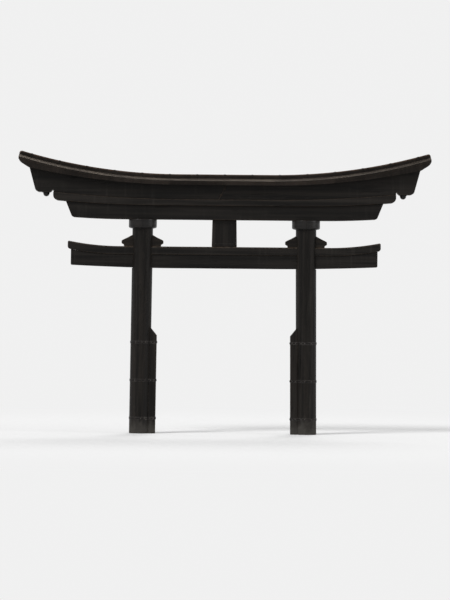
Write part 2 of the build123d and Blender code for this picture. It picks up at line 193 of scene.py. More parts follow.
def piece(name, patches, finish, stands_for=(), grain=None, uneven=None, tones=None):
    """Joins grids into one closed mesh, gives it its finish and its place in the frame.
    grain = (axis along the timber, the pith's place on the other two); uneven = (swing, wavelengths);
    tones gives each point's tone from its place."""
    mesh, open_edges = joined(name, patches)
    seed = sum(name.encode())
    points, normals = np.empty((2, len(mesh.vertices) * 3))
    mesh.vertices.foreach_get("co", points)
    mesh.vertex_normals.foreach_get("vector", normals)
    points, normals = points.reshape(-1, 3), normals.reshape(-1, 3)
    if uneven:
        points += normals * unevenness(points, *uneven, seed)[:, None]
    points = np.clip(points, np.array(cad_box[0]), np.array(cad_box[1]))
    mesh.vertices.foreach_set("co", points.ravel())
    if grain:
        axis, pith = grain
        order = {"x": [0, 1, 2], "z": [2, 0, 1]}[axis]
        mark(mesh, "grain", points[:, order] - np.array([seed % 13, *pith]), "FLOAT_VECTOR")
    if tones:
        mark(mesh, "tone", tones(points))
    mesh.shade_smooth()
    mesh.set_sharp_from_angle(angle=crease)
    mesh.materials.append(finish)
    mesh.update()

    made = bpy.data.objects.new(name, mesh)
    bpy.context.scene.collection.objects.link(made)
    made.modifiers.new("flat faces stay flat", "WEIGHTED_NORMAL").keep_sharp = True
    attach(made, "root")
    if stands_for:
        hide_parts(*stands_for)
    made_faces[name] = sum(len(face.vertices) - 2 for face in mesh.polygons)
    print(name, "triangles:", made_faces[name], "open edges:", open_edges)


# %% [markdown]
# ## A timber cut to an outline
#
# Most pieces are timbers of one width whose outline is sawn in elevation: beams, lintels, wedges, eave
# boards. A box with a Bevel modifier could do for a straight one, but not for a swept edge and a slanted end.
# So the outline is drawn as a lower and an upper edge with matching points. The face is ruled between them.
# The rim carries the outline across the width, and draws it in towards each face along a quarter circle,
# which is the arris that a plane leaves.

# %% Corners and outlines
def corner(point, to_first, to_last, radius, steps=6):
    """The arc that rounds a corner. Its centre lies on the bisector, radius / sin(half angle) away, and the
    arc turns from the tangent point on the first side to the one on the last."""
    point = np.asarray(point, float)
    first, last = np.asarray(to_first) - point, np.asarray(to_last) - point
    first, last = first / np.linalg.norm(first), last / np.linalg.norm(last)
    half = math.acos(np.clip(first @ last, -1, 1)) / 2
    middle = point + (first + last) / np.linalg.norm(first + last) * radius / math.sin(half)
    sweep = math.pi - 2 * half
    turn = np.linspace(0, sweep, steps)[:, None]
    start, stop = point + first * radius / math.tan(half), point + last * radius / math.tan(half)
    arc = (start - middle) * np.sin(sweep - turn) + (stop - middle) * np.sin(turn)
    return middle + arc / math.sin(sweep)


def outline(bottom, top, ends, radii, count, steps=6):
    """Matching lower and upper edges of a timber from left to right. ends holds (x at the bottom, x at the
    top) for the left and the right end, and radii the rounding of the same four corners."""
    tangent, support = 0.03, 0.012
    edges = []
    for level, (line, other) in enumerate([(bottom, top), (top, bottom)]):
        arcs = []
        for end, inwards in enumerate((tangent, -tangent)):
            x, far = ends[end][level], ends[end][1 - level]
            beside_it = [x + inwards, line(x + inwards)]
            arcs.append(corner([x, line(x)], [far, other(far)], beside_it, radii[end][level], steps))
        x = np.linspace(arcs[0][-1, 0] + support, arcs[1][-1, 0] - support, count)
        edges.append(np.concatenate([arcs[0], np.stack([x, line(x)], axis=1), arcs[1][::-1]]))
    return edges


# %% Paths
def run_along(path):
    """How far along a path each of its points lies."""
    return np.concatenate([[0], np.cumsum(np.linalg.norm(np.diff(path, axis=0), axis=1))])


def at_distance(path, distance):
    """The points of a path at given distances along it."""
    return np.stack([np.interp(distance, run_along(path), place) for place in path.T], axis=-1)


def rounded_path(points, radii, count):
    """A path of straight runs whose inner corners are rounded, as count points evenly far apart."""
    points = np.asarray(points, float)
    corners = zip(points[1:-1], points[:-2], points[2:], radii)
    path = np.concatenate([points[:1], *[corner(*each) for each in corners], points[-1:]])
    return at_distance(path, np.linspace(0, run_along(path)[-1], count))


def leftwards(steps):
    """Each step's direction, turned to its left by a quarter."""
    return np.stack([-steps[:, 1], steps[:, 0]], axis=1) / np.linalg.norm(steps, axis=1, keepdims=True)


def drawn_in(loop, amount):
    """A closed outline moved inwards: each point goes along the mitre of its two sides, by amount over the
    cosine of half the turn between them, and at most twice the amount."""
    left, right = leftwards(loop - np.roll(loop, 1, axis=0)), leftwards(np.roll(loop, -1, axis=0) - loop)
    mitre = (left + right) / np.linalg.norm(left + right, axis=1, keepdims=True)
    cosine = np.maximum((mitre * left).sum(axis=1), 0.5)
    return loop + mitre * (np.broadcast_to(amount, len(loop)) / cosine)[:, None]


# %% The loop round a timber
def beside(along, across, up):
    """A beam's own directions in the frame: along the gate, through it and up."""
    return np.stack([along + gate_middle, across, up], axis=-1)


def loop_round(low, high, rise, arris, top_arris):
    """The outline as one loop, which goes up both ends in the steps of rise, and the arris at each of its
    points: the lower edge's, the upper edge's, and low + t * (high - low) of both on the ends."""
    right = low[-1] + rise[:, None] * (high[-1] - low[-1])
    left = high[0] + rise[:, None] * (low[0] - high[0])
    loop = np.concatenate([low, right, high[::-1], left])
    upwards, downwards = arris + rise * (top_arris - arris), top_arris + rise * (arris - top_arris)
    size = np.concatenate([0 * low[:, 0] + arris, upwards, 0 * high[:, 0] + top_arris, downwards])
    return loop, size


# %% Rim and faces of a timber
def timber(
    edges, faces_at, arris=0.006, top_arris=None, flat=False, rows=5, stand=beside, tone=0.5, field=()
):
    """A closed timber. Its face is low + t * (high - low), and its rim runs from one face at faces_at[0] to
    the other at faces_at[1], drawn in by arris * (1 - sin a) while it goes arris * (1 - cos a) across, or
    along a straight chamfer where flat is true. field carries the rim on over the face, as (drawn in, sunk)
    steps."""
    low, high = edges
    off_corner = 0.014
    near = min(off_corner / np.linalg.norm(high - low, axis=1).max(), 0.2)
    rise = np.linspace(near, 1 - near, rows)
    loop, size = loop_round(low, high, rise, arris, arris if top_arris is None else top_arris)

    turn = np.linspace(0, math.pi / 2, 5)
    inward, across = 1 - np.sin(turn), 1 - np.cos(turn)
    if flat:
        inward, across = np.array([1.0, 0.93, 0.46, 0.0, 0.0]), np.array([0, 0.03, 0.5, 0.97, 1.0])
    rings = [drawn_in(loop, size.max() + inn) for inn, _ in field[::-1]]
    rings = np.stack(rings + [drawn_in(loop, size * inn) for inn in inward])
    over = np.stack([sunk + 0 * size for _, sunk in field[::-1]] + [size * share for share in across])

    spans = 4
    front, back = faces_at
    way = 1 if back > front else -1
    middle = np.linspace(front, back, spans + 1)[1:-1, None] + np.zeros(len(loop))
    depth = np.concatenate([front + way * over, middle, (back - way * over)[::-1]])
    wall = np.concatenate([rings, np.repeat(rings[-1:], spans - 1, axis=0), rings[::-1]])
    rub = [0.3 * (0 < sunk < field[-1][1]) for _, sunk in field[::-1]] + [0.75, 0.95, 1, 0.95, 0.75]
    worn = np.concatenate([rub, np.zeros(spans - 1), rub[::-1]])[:, None]
    grids = [patch(stand(wall[..., 0], depth, wall[..., 1]), worn=worn, tone=tone, closed=(False, True))]

    n, m = len(low), len(rise)
    low_in, right_in, high_in, left_in = np.split(rings[0], [n, n + m, 2 * n + m])
    steps = np.concatenate([[0], rise, [1]])[:, None, None]
    face = low_in + steps * (high_in[::-1] - low_in)
    face[1:-1, -1], face[1:-1, 0] = right_in, left_in[::-1]
    edge_wear = np.zeros(face.shape[:2])
    edge_wear[[0, -1]] = edge_wear[:, [0, -1]] = rub[0]
    for y, into in ((front, way), (back, -way)):
        across = np.full(face.shape[:2], y + into * over[0].max())
        grids.append(patch(stand(face[..., 0], across, face[..., 1]), edge_wear, tone))
    return grids


# %% [markdown]
# ## Turned pieces, bands and nails
#
# A lathe gives a ring or a drop, and a smith bends a strap round a post. Both are a profile carried along a
# closed path, a circle for the lathe and the post's outline for the strap. Nail heads are one small dome,
# placed as many times as there are nails in one array operation.

# %% Turned and bent pieces
def turned(profile, axis_x, angle, worn, fall_back=0.0, closed=False):
    """A lathe's surface: each (radius, height) of the profile goes round the upright axis, whose x may change
    with height as a leaning post's does. fall_back takes from the radius where a groove runs."""
    radius, height = profile[:, :1] - fall_back, profile[:, 1:]
    x = axis_x(height) + radius * np.cos(angle)
    points = np.stack([x, radius * np.sin(angle), height + 0 * x], axis=-1)
    return patch(points, worn=worn, closed=(closed, True))


def bent(path, outwards, section, stand, worn, tone):
    """A bar carried round a closed path: each point of the section lies (out, up) from it, out along the
    path's own outward direction."""
    out, up = section[:, 0][:, None], section[:, 1][:, None]
    plan = path[None] + outwards[None] * out[..., None]
    points = stand(plan[..., 0], plan[..., 1], up + np.zeros(len(path)))
    return patch(points, worn=worn, tone=tone, closed=(True, True))


# %% Nail heads
def heads(centres, directions, radius, height, tone=0.5, sides=10):
    """Domed nail heads: radius * cos a round each centre and height * sin a along its direction."""
    directions = directions / np.linalg.norm(directions, axis=1, keepdims=True)
    helper = np.where(np.abs(directions[:, 2:]) < 0.9, [[0, 0, 1.0]], [[1.0, 0, 0]])
    first = np.cross(helper, directions)
    first /= np.linalg.norm(first, axis=1, keepdims=True)
    second = np.cross(directions, first)
    angle = np.linspace(0, turn_round, sides, endpoint=False)[:, None]
    spread = np.array([0, 1, 1, 0.8, 0.45, 0])[:, None, None] * radius
    rise = np.array([-0.15, -0.15, 0.25, 0.72, 0.95, 1.0])[:, None, None] * height
    round_it = first[:, None] * np.cos(angle) + second[:, None] * np.sin(angle)
    points = centres[:, None, None] + round_it[:, None] * spread + directions[:, None, None] * rise
    return patch(points, worn=np.array([0, 0, 0.4, 0.9, 1, 1])[:, None], tone=tone, closed=(False, True))


# %% [markdown]
# ## The nodes of a finish
#
# Every finish on this gate is black, so colour alone would leave a flat shape. What the eye reads is grain
# relief, streaks where the stain took unevenly, arrises rubbed thin, dust on upward faces, and a change of
# gloss from timber to lacquer to metal. Effects that more than one finish needs are node groups, built once.
# They give out masks and heights only, and each finish places them with its own values.

# %% Nodes and sums
def put(tree, kind, inputs=None, **settings):
    """One shader node. An input may be a number, a colour or another node's socket."""
    made = tree.nodes.new("ShaderNode" + kind)
    for name, value in settings.items():
        setattr(made, name, value)
    for key, value in (inputs or {}).items():
        if isinstance(value, bpy.types.NodeSocket):
            tree.links.new(value, made.inputs[key])
        else:
            made.inputs[key].default_value = value
    return made


def calc(operation, *values):
    """A Math node's result, in the tree that its values lie in."""
    tree = next(value.id_data for value in values if isinstance(value, bpy.types.NodeSocket))
    return put(tree, "Math", dict(enumerate(values)), operation=operation).outputs[0]


def times(*values):
    """The product of all the values."""
    return reduce(lambda first, second: calc("MULTIPLY", first, second), values)


def plus(*values):
    """The sum of all the values."""
    return reduce(lambda first, second: calc("ADD", first, second), values)


def around(value, swing):
    """A value between 0 and 1 brought round zero: (value - 0.5) * swing."""
    return times(calc("SUBTRACT", value, 0.5), swing)


# %% Ramps, colours and noise
def ramp(value, low, high, to_low=0.0, to_high=1.0):
    """A value brought smoothly from low..high to another range, and held there."""
    inputs = {"Value": value, "From Min": low, "From Max": high, "To Min": to_low, "To Max": to_high}
    return put(value.id_data, "MapRange", inputs, interpolation_type="SMOOTHSTEP").outputs[0]


def tint(factor, below, above):
    """One colour going over into another."""
    return put(factor.id_data, "Mix", {0: factor, 6: below, 7: above}, data_type="RGBA").outputs[2]


def clouds(vector, stretch, detail=3.0, roughness=0.55):
    """Noise with its own scale along each direction, in waves a metre."""
    tree = vector.id_data
    scaled = put(tree, "VectorMath", {0: vector, 1: stretch}, operation="MULTIPLY").outputs[0]
    inputs = {"Vector": scaled, "Scale": 1.0, "Detail": detail, "Roughness": roughness}
    return put(tree, "TexNoise", inputs).outputs["Fac"]


# %% Node groups
def group(name, inputs, fill):
    """A node group with named inputs and outputs. An input with no value is a vector. fill(tree, sockets)
    returns what each output gives."""
    tree = bpy.data.node_groups.new(name, "ShaderNodeTree")
    for label, value in inputs.items():
        kind = "NodeSocketVector" if value is None else "NodeSocketFloat"
        socket = tree.interface.new_socket(label, in_out="INPUT", socket_type=kind)
        if value is not None:
            socket.default_value = value
    results = fill(tree, tree.nodes.new("NodeGroupInput").outputs)
    for label in results:
        tree.interface.new_socket(label, in_out="OUTPUT", socket_type="NodeSocketFloat")
    outgoing = tree.nodes.new("NodeGroupOutput")
    for label, socket in results.items():
        tree.links.new(socket, outgoing.inputs[label])
    return tree


def use(tree, made_group, **inputs):
    """A group placed in a finish."""
    named = {key.replace("_", " "): value for key, value in inputs.items()}
    return put(tree, "Group", named, node_tree=made_group).outputs


# %% [markdown]
# ### Timber figure
#
# Sawn timber shows the trunk's rings cut at a slant. Painting stripes on each face would break at the arris,
# so the rings are worked out in the solid: the distance from the pith, bent a little along the length. Faces,
# ends and chamfers then cut the same rings. Fine fibres, broad streaks and drying checks are noise drawn out
# along the grain.

# %% Timber figure
def fill_figure(tree, given):
    """A year's ring is the fraction of (distance from the pith / ring width + unevenness). A check is where
    noise drawn out along the grain crosses its middle."""
    grain = given["Grain"]
    parts = put(tree, "SeparateXYZ", {0: grain}).outputs
    bend = clouds(grain, (0.55, 2.2, 2.2), detail=2.0)
    turn = clouds(grain, (0.8, 3.1, 2.7), detail=2.0)
    first = plus(parts[1], around(bend, 0.11))
    second = plus(parts[2], around(turn, 0.11))
    radius = calc("SQRT", plus(times(first, first), times(second, second)))
    uneven_years = {"W": radius, "Scale": 23.0, "Detail": 2.0}
    uneven_years = put(tree, "TexNoise", uneven_years, noise_dimensions="1D").outputs["Fac"]
    years = plus(calc("DIVIDE", radius, given["Ring Width"]), times(uneven_years, 7.0))
    phase = calc("FRACT", years)
    rings = times(calc("POWER", phase, 2.2), ramp(phase, 1.0, 0.86))
    fibre = clouds(grain, (9.0, 420.0, 420.0), detail=2.0)
    streak = ramp(clouds(grain, (0.42, 11.0, 11.0), detail=4.0), 0.34, 0.68)
    thread = calc("SUBTRACT", clouds(grain, (0.8, 26.0, 26.0), detail=1.0), 0.5)
    thread = calc("ABSOLUTE", thread)
    where = ramp(clouds(grain, (0.9, 7.0, 7.0), detail=1.0), 0.56, 0.66)
    checks = times(ramp(thread, given["Check Width"], 0.0), where)
    relief = plus(times(rings, 0.32), times(fibre, 0.4))
    height = calc("SUBTRACT", relief, times(checks, 3.0))
    return {"Rings": rings, "Fibre": fibre, "Streak": streak, "Checks": checks, "Height": height}


figure_inputs = {"Grain": None, "Ring Width": 0.009, "Check Width": 0.012}
timber_figure = group("timber figure", figure_inputs, fill_figure)


# %% [markdown]
# ### Rubbed edges, dust and sheet metal
#
# Wear is where hands, ropes and rain take the finish off first. The arrises carry a mark of 1 that fades into
# the faces, and noise breaks it up. Dust settles on faces that look up, and rain splashes grit on whatever
# stands near the ground. Sheet metal is never quite flat and darkens in clouds and runs.

# %% Rubbed edges
def fill_rubbed(tree, given):
    """The mark of wear plus noise, and how far the sum lies above 1.25 - amount."""
    broken = clouds(given["Position"], (14.0, 14.0, 14.0), detail=5.0, roughness=0.65)
    raised = plus(given["Worn"], around(broken, 1.1))
    start = calc("SUBTRACT", 1.25, given["Amount"])
    return {"Mask": ramp(raised, start, plus(start, 0.35))}


rubbed_edges = group("rubbed edges", {"Position": None, "Worn": 0.0, "Amount": 0.5}, fill_rubbed)


# %% Settled dust
def fill_dust(tree, given):
    """Dust on faces that look up, grit splashed on the lowest 0.4 m, and rain's runs, whichever is most."""
    position = given["Position"]
    normal = put(tree, "SeparateXYZ", {0: put(tree, "NewGeometry").outputs["Normal"]}).outputs["Z"]
    runs = ramp(clouds(position, (13.0, 13.0, 0.55), detail=5.0, roughness=0.6), 0.5, 0.78)
    patches = ramp(clouds(position, (0.9, 0.9, 0.9), detail=2.0), 0.38, 0.66)
    runs = times(runs, patches, given["Runs"])
    height = put(tree, "SeparateXYZ", {0: position}).outputs["Z"]
    grit = clouds(position, (7.0, 7.0, 7.0), detail=6.0, roughness=0.7)
    settled = times(ramp(normal, 0.25, 1.0), ramp(grit, 0.3, 0.75))
    uneven_reach = times(calc("SUBTRACT", 0.5, grit), 0.7)
    splashed = ramp(plus(height, uneven_reach), 0.42, 0.0)
    mask = times(calc("MAXIMUM", settled, splashed), given["Amount"])
    return {"Mask": calc("MAXIMUM", mask, runs)}


settled_dust = group("settled dust", {"Position": None, "Amount": 0.5, "Runs": 0.15}, fill_dust)


# %% Sheet metal
def fill_sheet(tree, given):
    """Clouds and runs of patina, a tone for each sheet, fine spots and shallow dents."""
    cloud = clouds(given["Position"], (3.2, 3.2, 3.2), detail=5.0, roughness=0.62)
    runs = clouds(given["Position"], (21.0, 21.0, 0.9), detail=3.0)
    spots = clouds(given["Position"], (55.0, 55.0, 55.0), detail=3.0)
    patina = plus(times(cloud, 0.75), times(runs, 0.25), around(given["Tone"], 0.36))
    dents = clouds(given["Position"], (6.5, 6.5, 6.5), detail=1.0)
    dents = plus(dents, times(spots, 0.06))
    return {"Patina": ramp(patina, 0.3, 0.72), "Spots": ramp(spots, 0.4, 0.7), "Dents": dents}


sheet_metal = group("sheet metal", {"Position": None, "Tone": 0.5}, fill_sheet)
print("node groups:", [made.name for made in (timber_figure, rubbed_edges, settled_dust, sheet_metal)])

# %% [markdown]
# ### The finishes
#
# Each finish keeps its own Principled BSDF, whose even values, such as the specular level, are set on the
# shader itself. The groups feed its colour, roughness and bump. Black stain on timber is a thin brown-black
# film, lacquer is deep and glossy, copper darkens to brown-black with a soft metallic sheen, and forged iron
# stays rougher.

# %% Start and end of a finish
dust_colour = (0.076, 0.071, 0.063, 1)


def new_finish(name, **even):
    """A material with a Principled BSDF, whose even values go on the shader's own sockets."""
    material = bpy.data.materials.new(name)
    material.use_nodes = True
    tree = material.node_tree
    shader = tree.nodes["Principled BSDF"]
    for key, value in even.items():
        shader.inputs[key.replace("_", " ")].default_value = value
    position = put(tree, "TexCoord").outputs["Object"]
    return material, tree, shader, position


def read(tree, name, output="Fac"):
    """A mark that the mesh carries."""
    return put(tree, "Attribute", attribute_name=name).outputs[output]


def aged(tree, position, wear, dusty, runs=0.15):
    """Where a finish is rubbed off, and where dust lies on it."""
    worn = use(tree, rubbed_edges, Position=position, Worn=read(tree, "worn"), Amount=wear)["Mask"]
    return worn, use(tree, settled_dust, Position=position, Amount=dusty, Runs=runs)["Mask"]


def weathered(colour, worn, rubbed, dust):
    """A colour rubbed through where it is worn, with dust over both."""
    return tint(dust, tint(worn, colour, rubbed), dust_colour)


def shaded(tree, shader, colour, roughness, height, distance):
    """Feeds the shader its colour, its roughness and the relief of a height in metres."""
    tree.links.new(colour, shader.inputs["Base Color"])
    tree.links.new(roughness, shader.inputs["Roughness"])
    bump = put(tree, "Bump", {"Height": height, "Strength": 1.0, "Distance": distance})
    tree.links.new(bump.outputs["Normal"], shader.inputs["Normal"])


# %% Stained timber
def stained_timber(name, stain, ridge_colour, rubbed, gloss, ring_width, wear):
    """Dark stain that goes over into ridge_colour by rings, streaks, fibre and the timber's own tone."""
    material, tree, shader, position = new_finish(name, Specular_IOR_Level=0.10)
    figure = use(tree, timber_figure, Grain=read(tree, "grain", "Vector"), Ring_Width=ring_width)
    worn, dust = aged(tree, position, wear, 0.5)
    shares = {"Rings": 0.3, "Streak": 0.55, "Fibre": 0.15}
    light = plus(*[times(figure[part], share) for part, share in shares.items()])
    light = times(light, plus(times(read(tree, "tone"), 1.4), 0.3))
    colour = tint(light, stain, ridge_colour)
    colour = tint(times(worn, 0.75), colour, rubbed)
    colour = tint(figure["Checks"], colour, (0.0015, 0.0014, 0.0013, 1))
    colour = tint(dust, colour, dust_colour)
    rough = ramp(figure["Streak"], 0.0, 1.0, gloss, gloss + 0.16)
    rough = plus(rough, times(dust, 0.3), times(figure["Fibre"], 0.08))
    shaded(tree, shader, colour, rough, figure["Height"], 0.0011)
    return material


post_finish = stained_timber(
    "black stained post", (0.0030, 0.0027, 0.0025, 1), (0.0190, 0.0159, 0.0134, 1), (0.050, 0.035, 0.025, 1),
    gloss=0.36, ring_width=0.011, wear=0.55,
)
beam_finish = stained_timber(
    "black stained beam", (0.0028, 0.0026, 0.0024, 1), (0.0174, 0.0149, 0.0128, 1), (0.046, 0.033, 0.024, 1),
    gloss=0.36, ring_width=0.010, wear=0.52,
)
wedge_finish = stained_timber(
    "black stained wedge", (0.0036, 0.0031, 0.0027, 1), (0.0208, 0.0163, 0.0128, 1), (0.060, 0.041, 0.028, 1),
    gloss=0.34, ring_width=0.006, wear=0.7,
)


# %% Black lacquer
def ring_lacquer():
    """Near black with brush marks across, a thin clear coat, and red-brown where it is rubbed."""
    material, tree, shader, position = new_finish(
        "black lacquer", Specular_IOR_Level=0.18, Coat_Weight=0.12, Coat_Roughness=0.22
    )
    worn, dust = aged(tree, position, 0.42, 0.35)
    brushed = clouds(position, (18.0, 18.0, 60.0), detail=3.0)
    cloud = clouds(position, (5.0, 5.0, 5.0), detail=4.0)
    colour = ramp(cloud, 0.35, 0.7)
    colour = tint(colour, (0.0038, 0.0034, 0.0032, 1), (0.0085, 0.0066, 0.0055, 1))
    colour = weathered(colour, times(worn, 0.8), (0.036, 0.020, 0.013, 1), dust)
    rough = ramp(cloud, 0.3, 0.75, 0.34, 0.48)
    rough = plus(rough, times(calc("MAXIMUM", worn, dust), 0.3))
    shaded(tree, shader, colour, rough, brushed, 0.0004)
    return material


# %% Blackened copper
def roof_copper():
    """Brown-black patina in clouds and runs, a little bare copper on rubbed edges."""
    material, tree, shader, position = new_finish(
        "blackened copper", Metallic=0.6, Specular_IOR_Level=0.16, Specular_Tint=(0.5, 0.45, 0.4, 1)
    )
    sheet = use(tree, sheet_metal, Position=position, Tone=read(tree, "tone"))
    worn, dust = aged(tree, position, 0.5, 0.16, runs=0.1)
    colour = tint(sheet["Patina"], (0.0120, 0.0102, 0.0092, 1), (0.0272, 0.0220, 0.0190, 1))
    colour = tint(times(sheet["Spots"], 0.35), colour, (0.0090, 0.0100, 0.0092, 1))
    colour = weathered(colour, times(worn, 0.6), (0.110, 0.066, 0.044, 1), dust)
    rough = ramp(sheet["Patina"], 0.0, 1.0, 0.52, 0.36)
    rough = plus(rough, times(dust, 0.35))
    shaded(tree, shader, colour, rough, sheet["Dents"], 0.004)
    return material


# %% Forged iron
def strap_iron():
    """Dark scale with the dimples of a hammer."""
    material, tree, shader, position = new_finish("black forged iron", Metallic=0.9)
    sheet = use(tree, sheet_metal, Position=position, Tone=read(tree, "tone"))
    worn, dust = aged(tree, position, 0.6, 0.3)
    dimples = put(tree, "TexVoronoi", {"Vector": position, "Scale": 42.0}, feature="SMOOTH_F1")
    colour = tint(sheet["Spots"], (0.0120, 0.0116, 0.0115, 1), (0.0240, 0.0190, 0.0165, 1))
    colour = weathered(colour, times(worn, 0.7), (0.095, 0.088, 0.082, 1), dust)
    rough = ramp(sheet["Patina"], 0.0, 1.0, 0.46, 0.62)
    shaded(tree, shader, colour, rough, dimples.outputs["Distance"], 0.002)
    return material


lacquer_finish, copper_finish, iron_finish = ring_lacquer(), roof_copper(), strap_iron()
print("finishes:", [m.name for m in bpy.data.materials if m.name.startswith("black")])

# %% [markdown]
# ## Pillars
#
# A pillar is one trunk, hewn to a round with long flat strokes, that leans in a little. It has a stepped
# mortise right through it for the tie beam, its cap and the wedges, and it has dried with long checks that
# follow the slight twist of the grain. A cylinder cut with Booleans would leave ragged faces round the
# mortise. So the grid itself has lines where the mortise's edges lie, and its radius falls back inside them.

# %% The leaning axis and the mortise
pillar_radius, pillar_top = 0.224, 4.6577
lean = math.tan(math.radians(0.5))
mortise_steps = [(0.081, 3.600, 3.897), (0.109, 3.897, 4.072), (0.076, 4.072, 4.137)]
mouth = np.array([-0.0006, 0.0, 0.0022, 0.0055])
print("a pillar leans in by", round(1000 * pillar_top * lean), "mm over its height")


def axis_of(side):
    """x of a leaning pillar's axis at each height."""
    return lambda height: gate_middle + side * (gate_middle - height * lean)


def with_lines(regular, places, offsets):
    """Regular grid lines with more of them round given places, none nearer than a fifth of a millimetre."""
    extra = (np.asarray(places)[:, None] + np.asarray(offsets)).ravel()
    lines = np.sort(np.concatenate([regular, extra]))
    return lines[np.concatenate([[True], np.diff(lines) > 2e-4])]


def inside_mortise(across, height):
    """How far a point lies inside the stepped mortise: the largest, over its steps, of the least distance to
    that step's edges, and below zero outside."""
    steps = [
        np.minimum(half - np.abs(across), np.minimum(height - low, high - height))
        for half, low, high in mortise_steps
    ]
    return np.max(steps, axis=0)


# %% The lines of a pillar's grid
facets, check_count = 32, 5


def pillar_angles(check_at):
    """Three lines a facet, and more round the mortise's sides and round each drying check."""
    sides = []
    for half, _, _ in mortise_steps:
        across = np.arcsin((half + mouth) / pillar_radius)
        sides += [across, -across, math.pi - across, math.pi + across]
    regular = np.linspace(0, turn_round, 3 * facets, endpoint=False)
    angle = with_lines(regular, np.mod(np.concatenate(sides), turn_round), [0.0])
    gaps = np.array([-0.0085, -0.004, -0.0015, 0.0, 0.0015, 0.004, 0.0085]) / pillar_radius
    return with_lines(angle, check_at, gaps)


def pillar_heights():
    """A line every 36 mm, and more round the mortise's steps and the foot's arris."""
    levels = [step[1] for step in mortise_steps] + [mortise_steps[-1][2]]
    height = with_lines(np.arange(0.045, pillar_top, 0.036), levels, [*mouth, *-mouth])
    height = height[(height > 0.01) & (height < pillar_top - 0.004)]
    return np.concatenate([[0.0, 0.003, 0.009], height, [pillar_top]])


print("a pillar's grid:", len(pillar_heights()), "rows of about", len(pillar_angles([])), "points")


# %% The hewn trunk
flatness, foot_arris, arris_depth, check_depth = 0.65, 0.009, 0.008, 0.022


def trunk_radius(angle, z, check_at, calm, draw):
    """A polygon's radius for the hewn facets, less the arris at the foot and less the drying checks, each of
    which opens and closes along the trunk as a sine."""
    facet = turn_round / facets
    hewn = math.cos(facet / 2) / np.cos(np.mod(angle, facet) - facet / 2)
    radius = pillar_radius * (1 - flatness + flatness * hewn) + 0 * z
    radius -= arris_depth * (1 - np.clip(z / foot_arris, 0, 1)) ** 2
    for at in check_at:
        start, length = draw.uniform(0.05, 2.2), draw.uniform(0.9, 1.9)
        opened = np.sin(math.pi * np.clip((z - start) / length, 0, 1)) ** 0.6 * calm
        off = np.abs(np.mod(angle - at + math.pi, turn_round) - math.pi) * pillar_radius
        half_open = 0.0012 + draw.uniform(0.0022, 0.0052) * opened
        radius -= check_depth * opened * np.clip(1 - off / half_open, 0, 1) ** 0.8
    return radius


# %% Pillars
neck_middle, neck_half, mortise_depth = 3.87, 0.45, 0.045


def pillar(side, seed):
    """x = axis + r cos a, y = r sin a. r is the trunk's radius less the mortise's depth. Checks and twist
    leave the neck between beam and ring calm."""
    draw = np.random.default_rng(seed)
    spacing = turn_round / check_count
    check_at = draw.uniform(0, spacing, check_count) + np.arange(check_count) * spacing
    angle, z = pillar_angles(check_at), pillar_heights()[:, None]
    calm = np.clip(np.abs(z - neck_middle) / neck_half - 1, 0, 1)
    radius = trunk_radius(angle, z, check_at, calm, draw)
    deep = inside_mortise(radius * np.sin(angle), z)
    mouth_round = 0.004 * np.clip(1 + deep / mouth[-1], 0, 1) ** 2
    radius = radius - np.where(deep > 4e-4, mortise_depth, mouth_round)

    twist = 0.05 * z + 0.03 * np.sin(2.1 * z + seed)
    angle = angle + twist * calm
    x = axis_of(side)(z) + radius * np.cos(angle)
    body = np.stack([x, radius * np.sin(angle), z + 0 * x], axis=-1)
    foot, head = [np.array([axis_of(side)(h), 0, h]) for h in (0.0, pillar_top)]
    foot = np.stack([foot + (body[0] - foot) * share for share in (0, 0.4, 0.85)])
    head = np.stack([head + (body[-1] - head) * share for share in (0.85, 0.4, 0)])
    worn = np.where((deep > -0.006) & (deep < 0.0006), 0.9, 0.0) + 0 * x + (z < 0.01) * 0.8
    worn = np.pad(np.clip(worn, 0, 1), [(3, 3), (0, 0)])
    return patch(np.concatenate([foot, body, head]), worn=worn, closed=(False, True))


for side, word in both_sides:
    piece(
        f"pillar_{word}_trunk", [pillar(side, 11 + side)], post_finish, [f"pillar_{word}"],
        grain=("z", (axis_of(side)(2.0) + 0.031, 0.024)), uneven=(0.0011, (0.5, 0.5, 1.6)),
    )

# %% [markdown]
# ## Jambs
#
# Against the inner side of each pillar stands a lower post with a slanted head, hollowed to fit the round. A
# Boolean with the pillar could hollow it, but would leave slivers along both edges. So it is a timber stood
# on end: its outline runs upwards, and the edge that meets the pillar then follows the round.

# %% Jambs
fit = 0.0004
jamb_half, jamb_face, jamb_top = 0.125, 0.346, 2.136


def jamb(side):
    """The outline runs along z, from the pillar's side at u = near to the face at 0.346, under a slanted
    head. Across the width, u is pushed off the pillar's round by (round - near) * (1 - s)^2, where s is the
    share of the way to the face, and z keeps its share of the head's height there."""
    fall, near = 0.151 / 0.122, math.sqrt(pillar_radius**2 - jamb_half**2)

    def head(u):
        """The slanted head's height at u."""
        return jamb_top + fall * (jamb_face - u)

    def stand(along, across, up):
        """Off the pillar's round, and upwards by a share of the head's height."""
        round_x = np.sqrt((pillar_radius + fit) ** 2 - np.clip(across, -jamb_half, jamb_half) ** 2)
        u = up + (round_x - near) * np.clip(1 - (up - near) / (jamb_face - near), 0, 1) ** 2
        z = along * head(u) / head(up)
        return np.stack([axis_of(side)(z) - side * u, across, z], axis=-1)

    edges = outline(
        lambda z: near + 0 * z, lambda z: jamb_face + 0 * z,
        ends=((0.0, 0.0), (head(near), jamb_top)), radii=((0.008, 0.008), (0.008, 0.014)), count=56,
    )
    return timber(edges, (-jamb_half, jamb_half), arris=0.007, rows=8, stand=stand)


for side, word in both_sides:
    piece(
        f"jamb_{word}_post", jamb(side), post_finish, [f"jamb_{word}"],
        grain=("z", (axis_of(side)(1.0) - side * 0.46, 0.21)), uneven=(0.0012, (0.35, 0.35, 1.3)),
    )


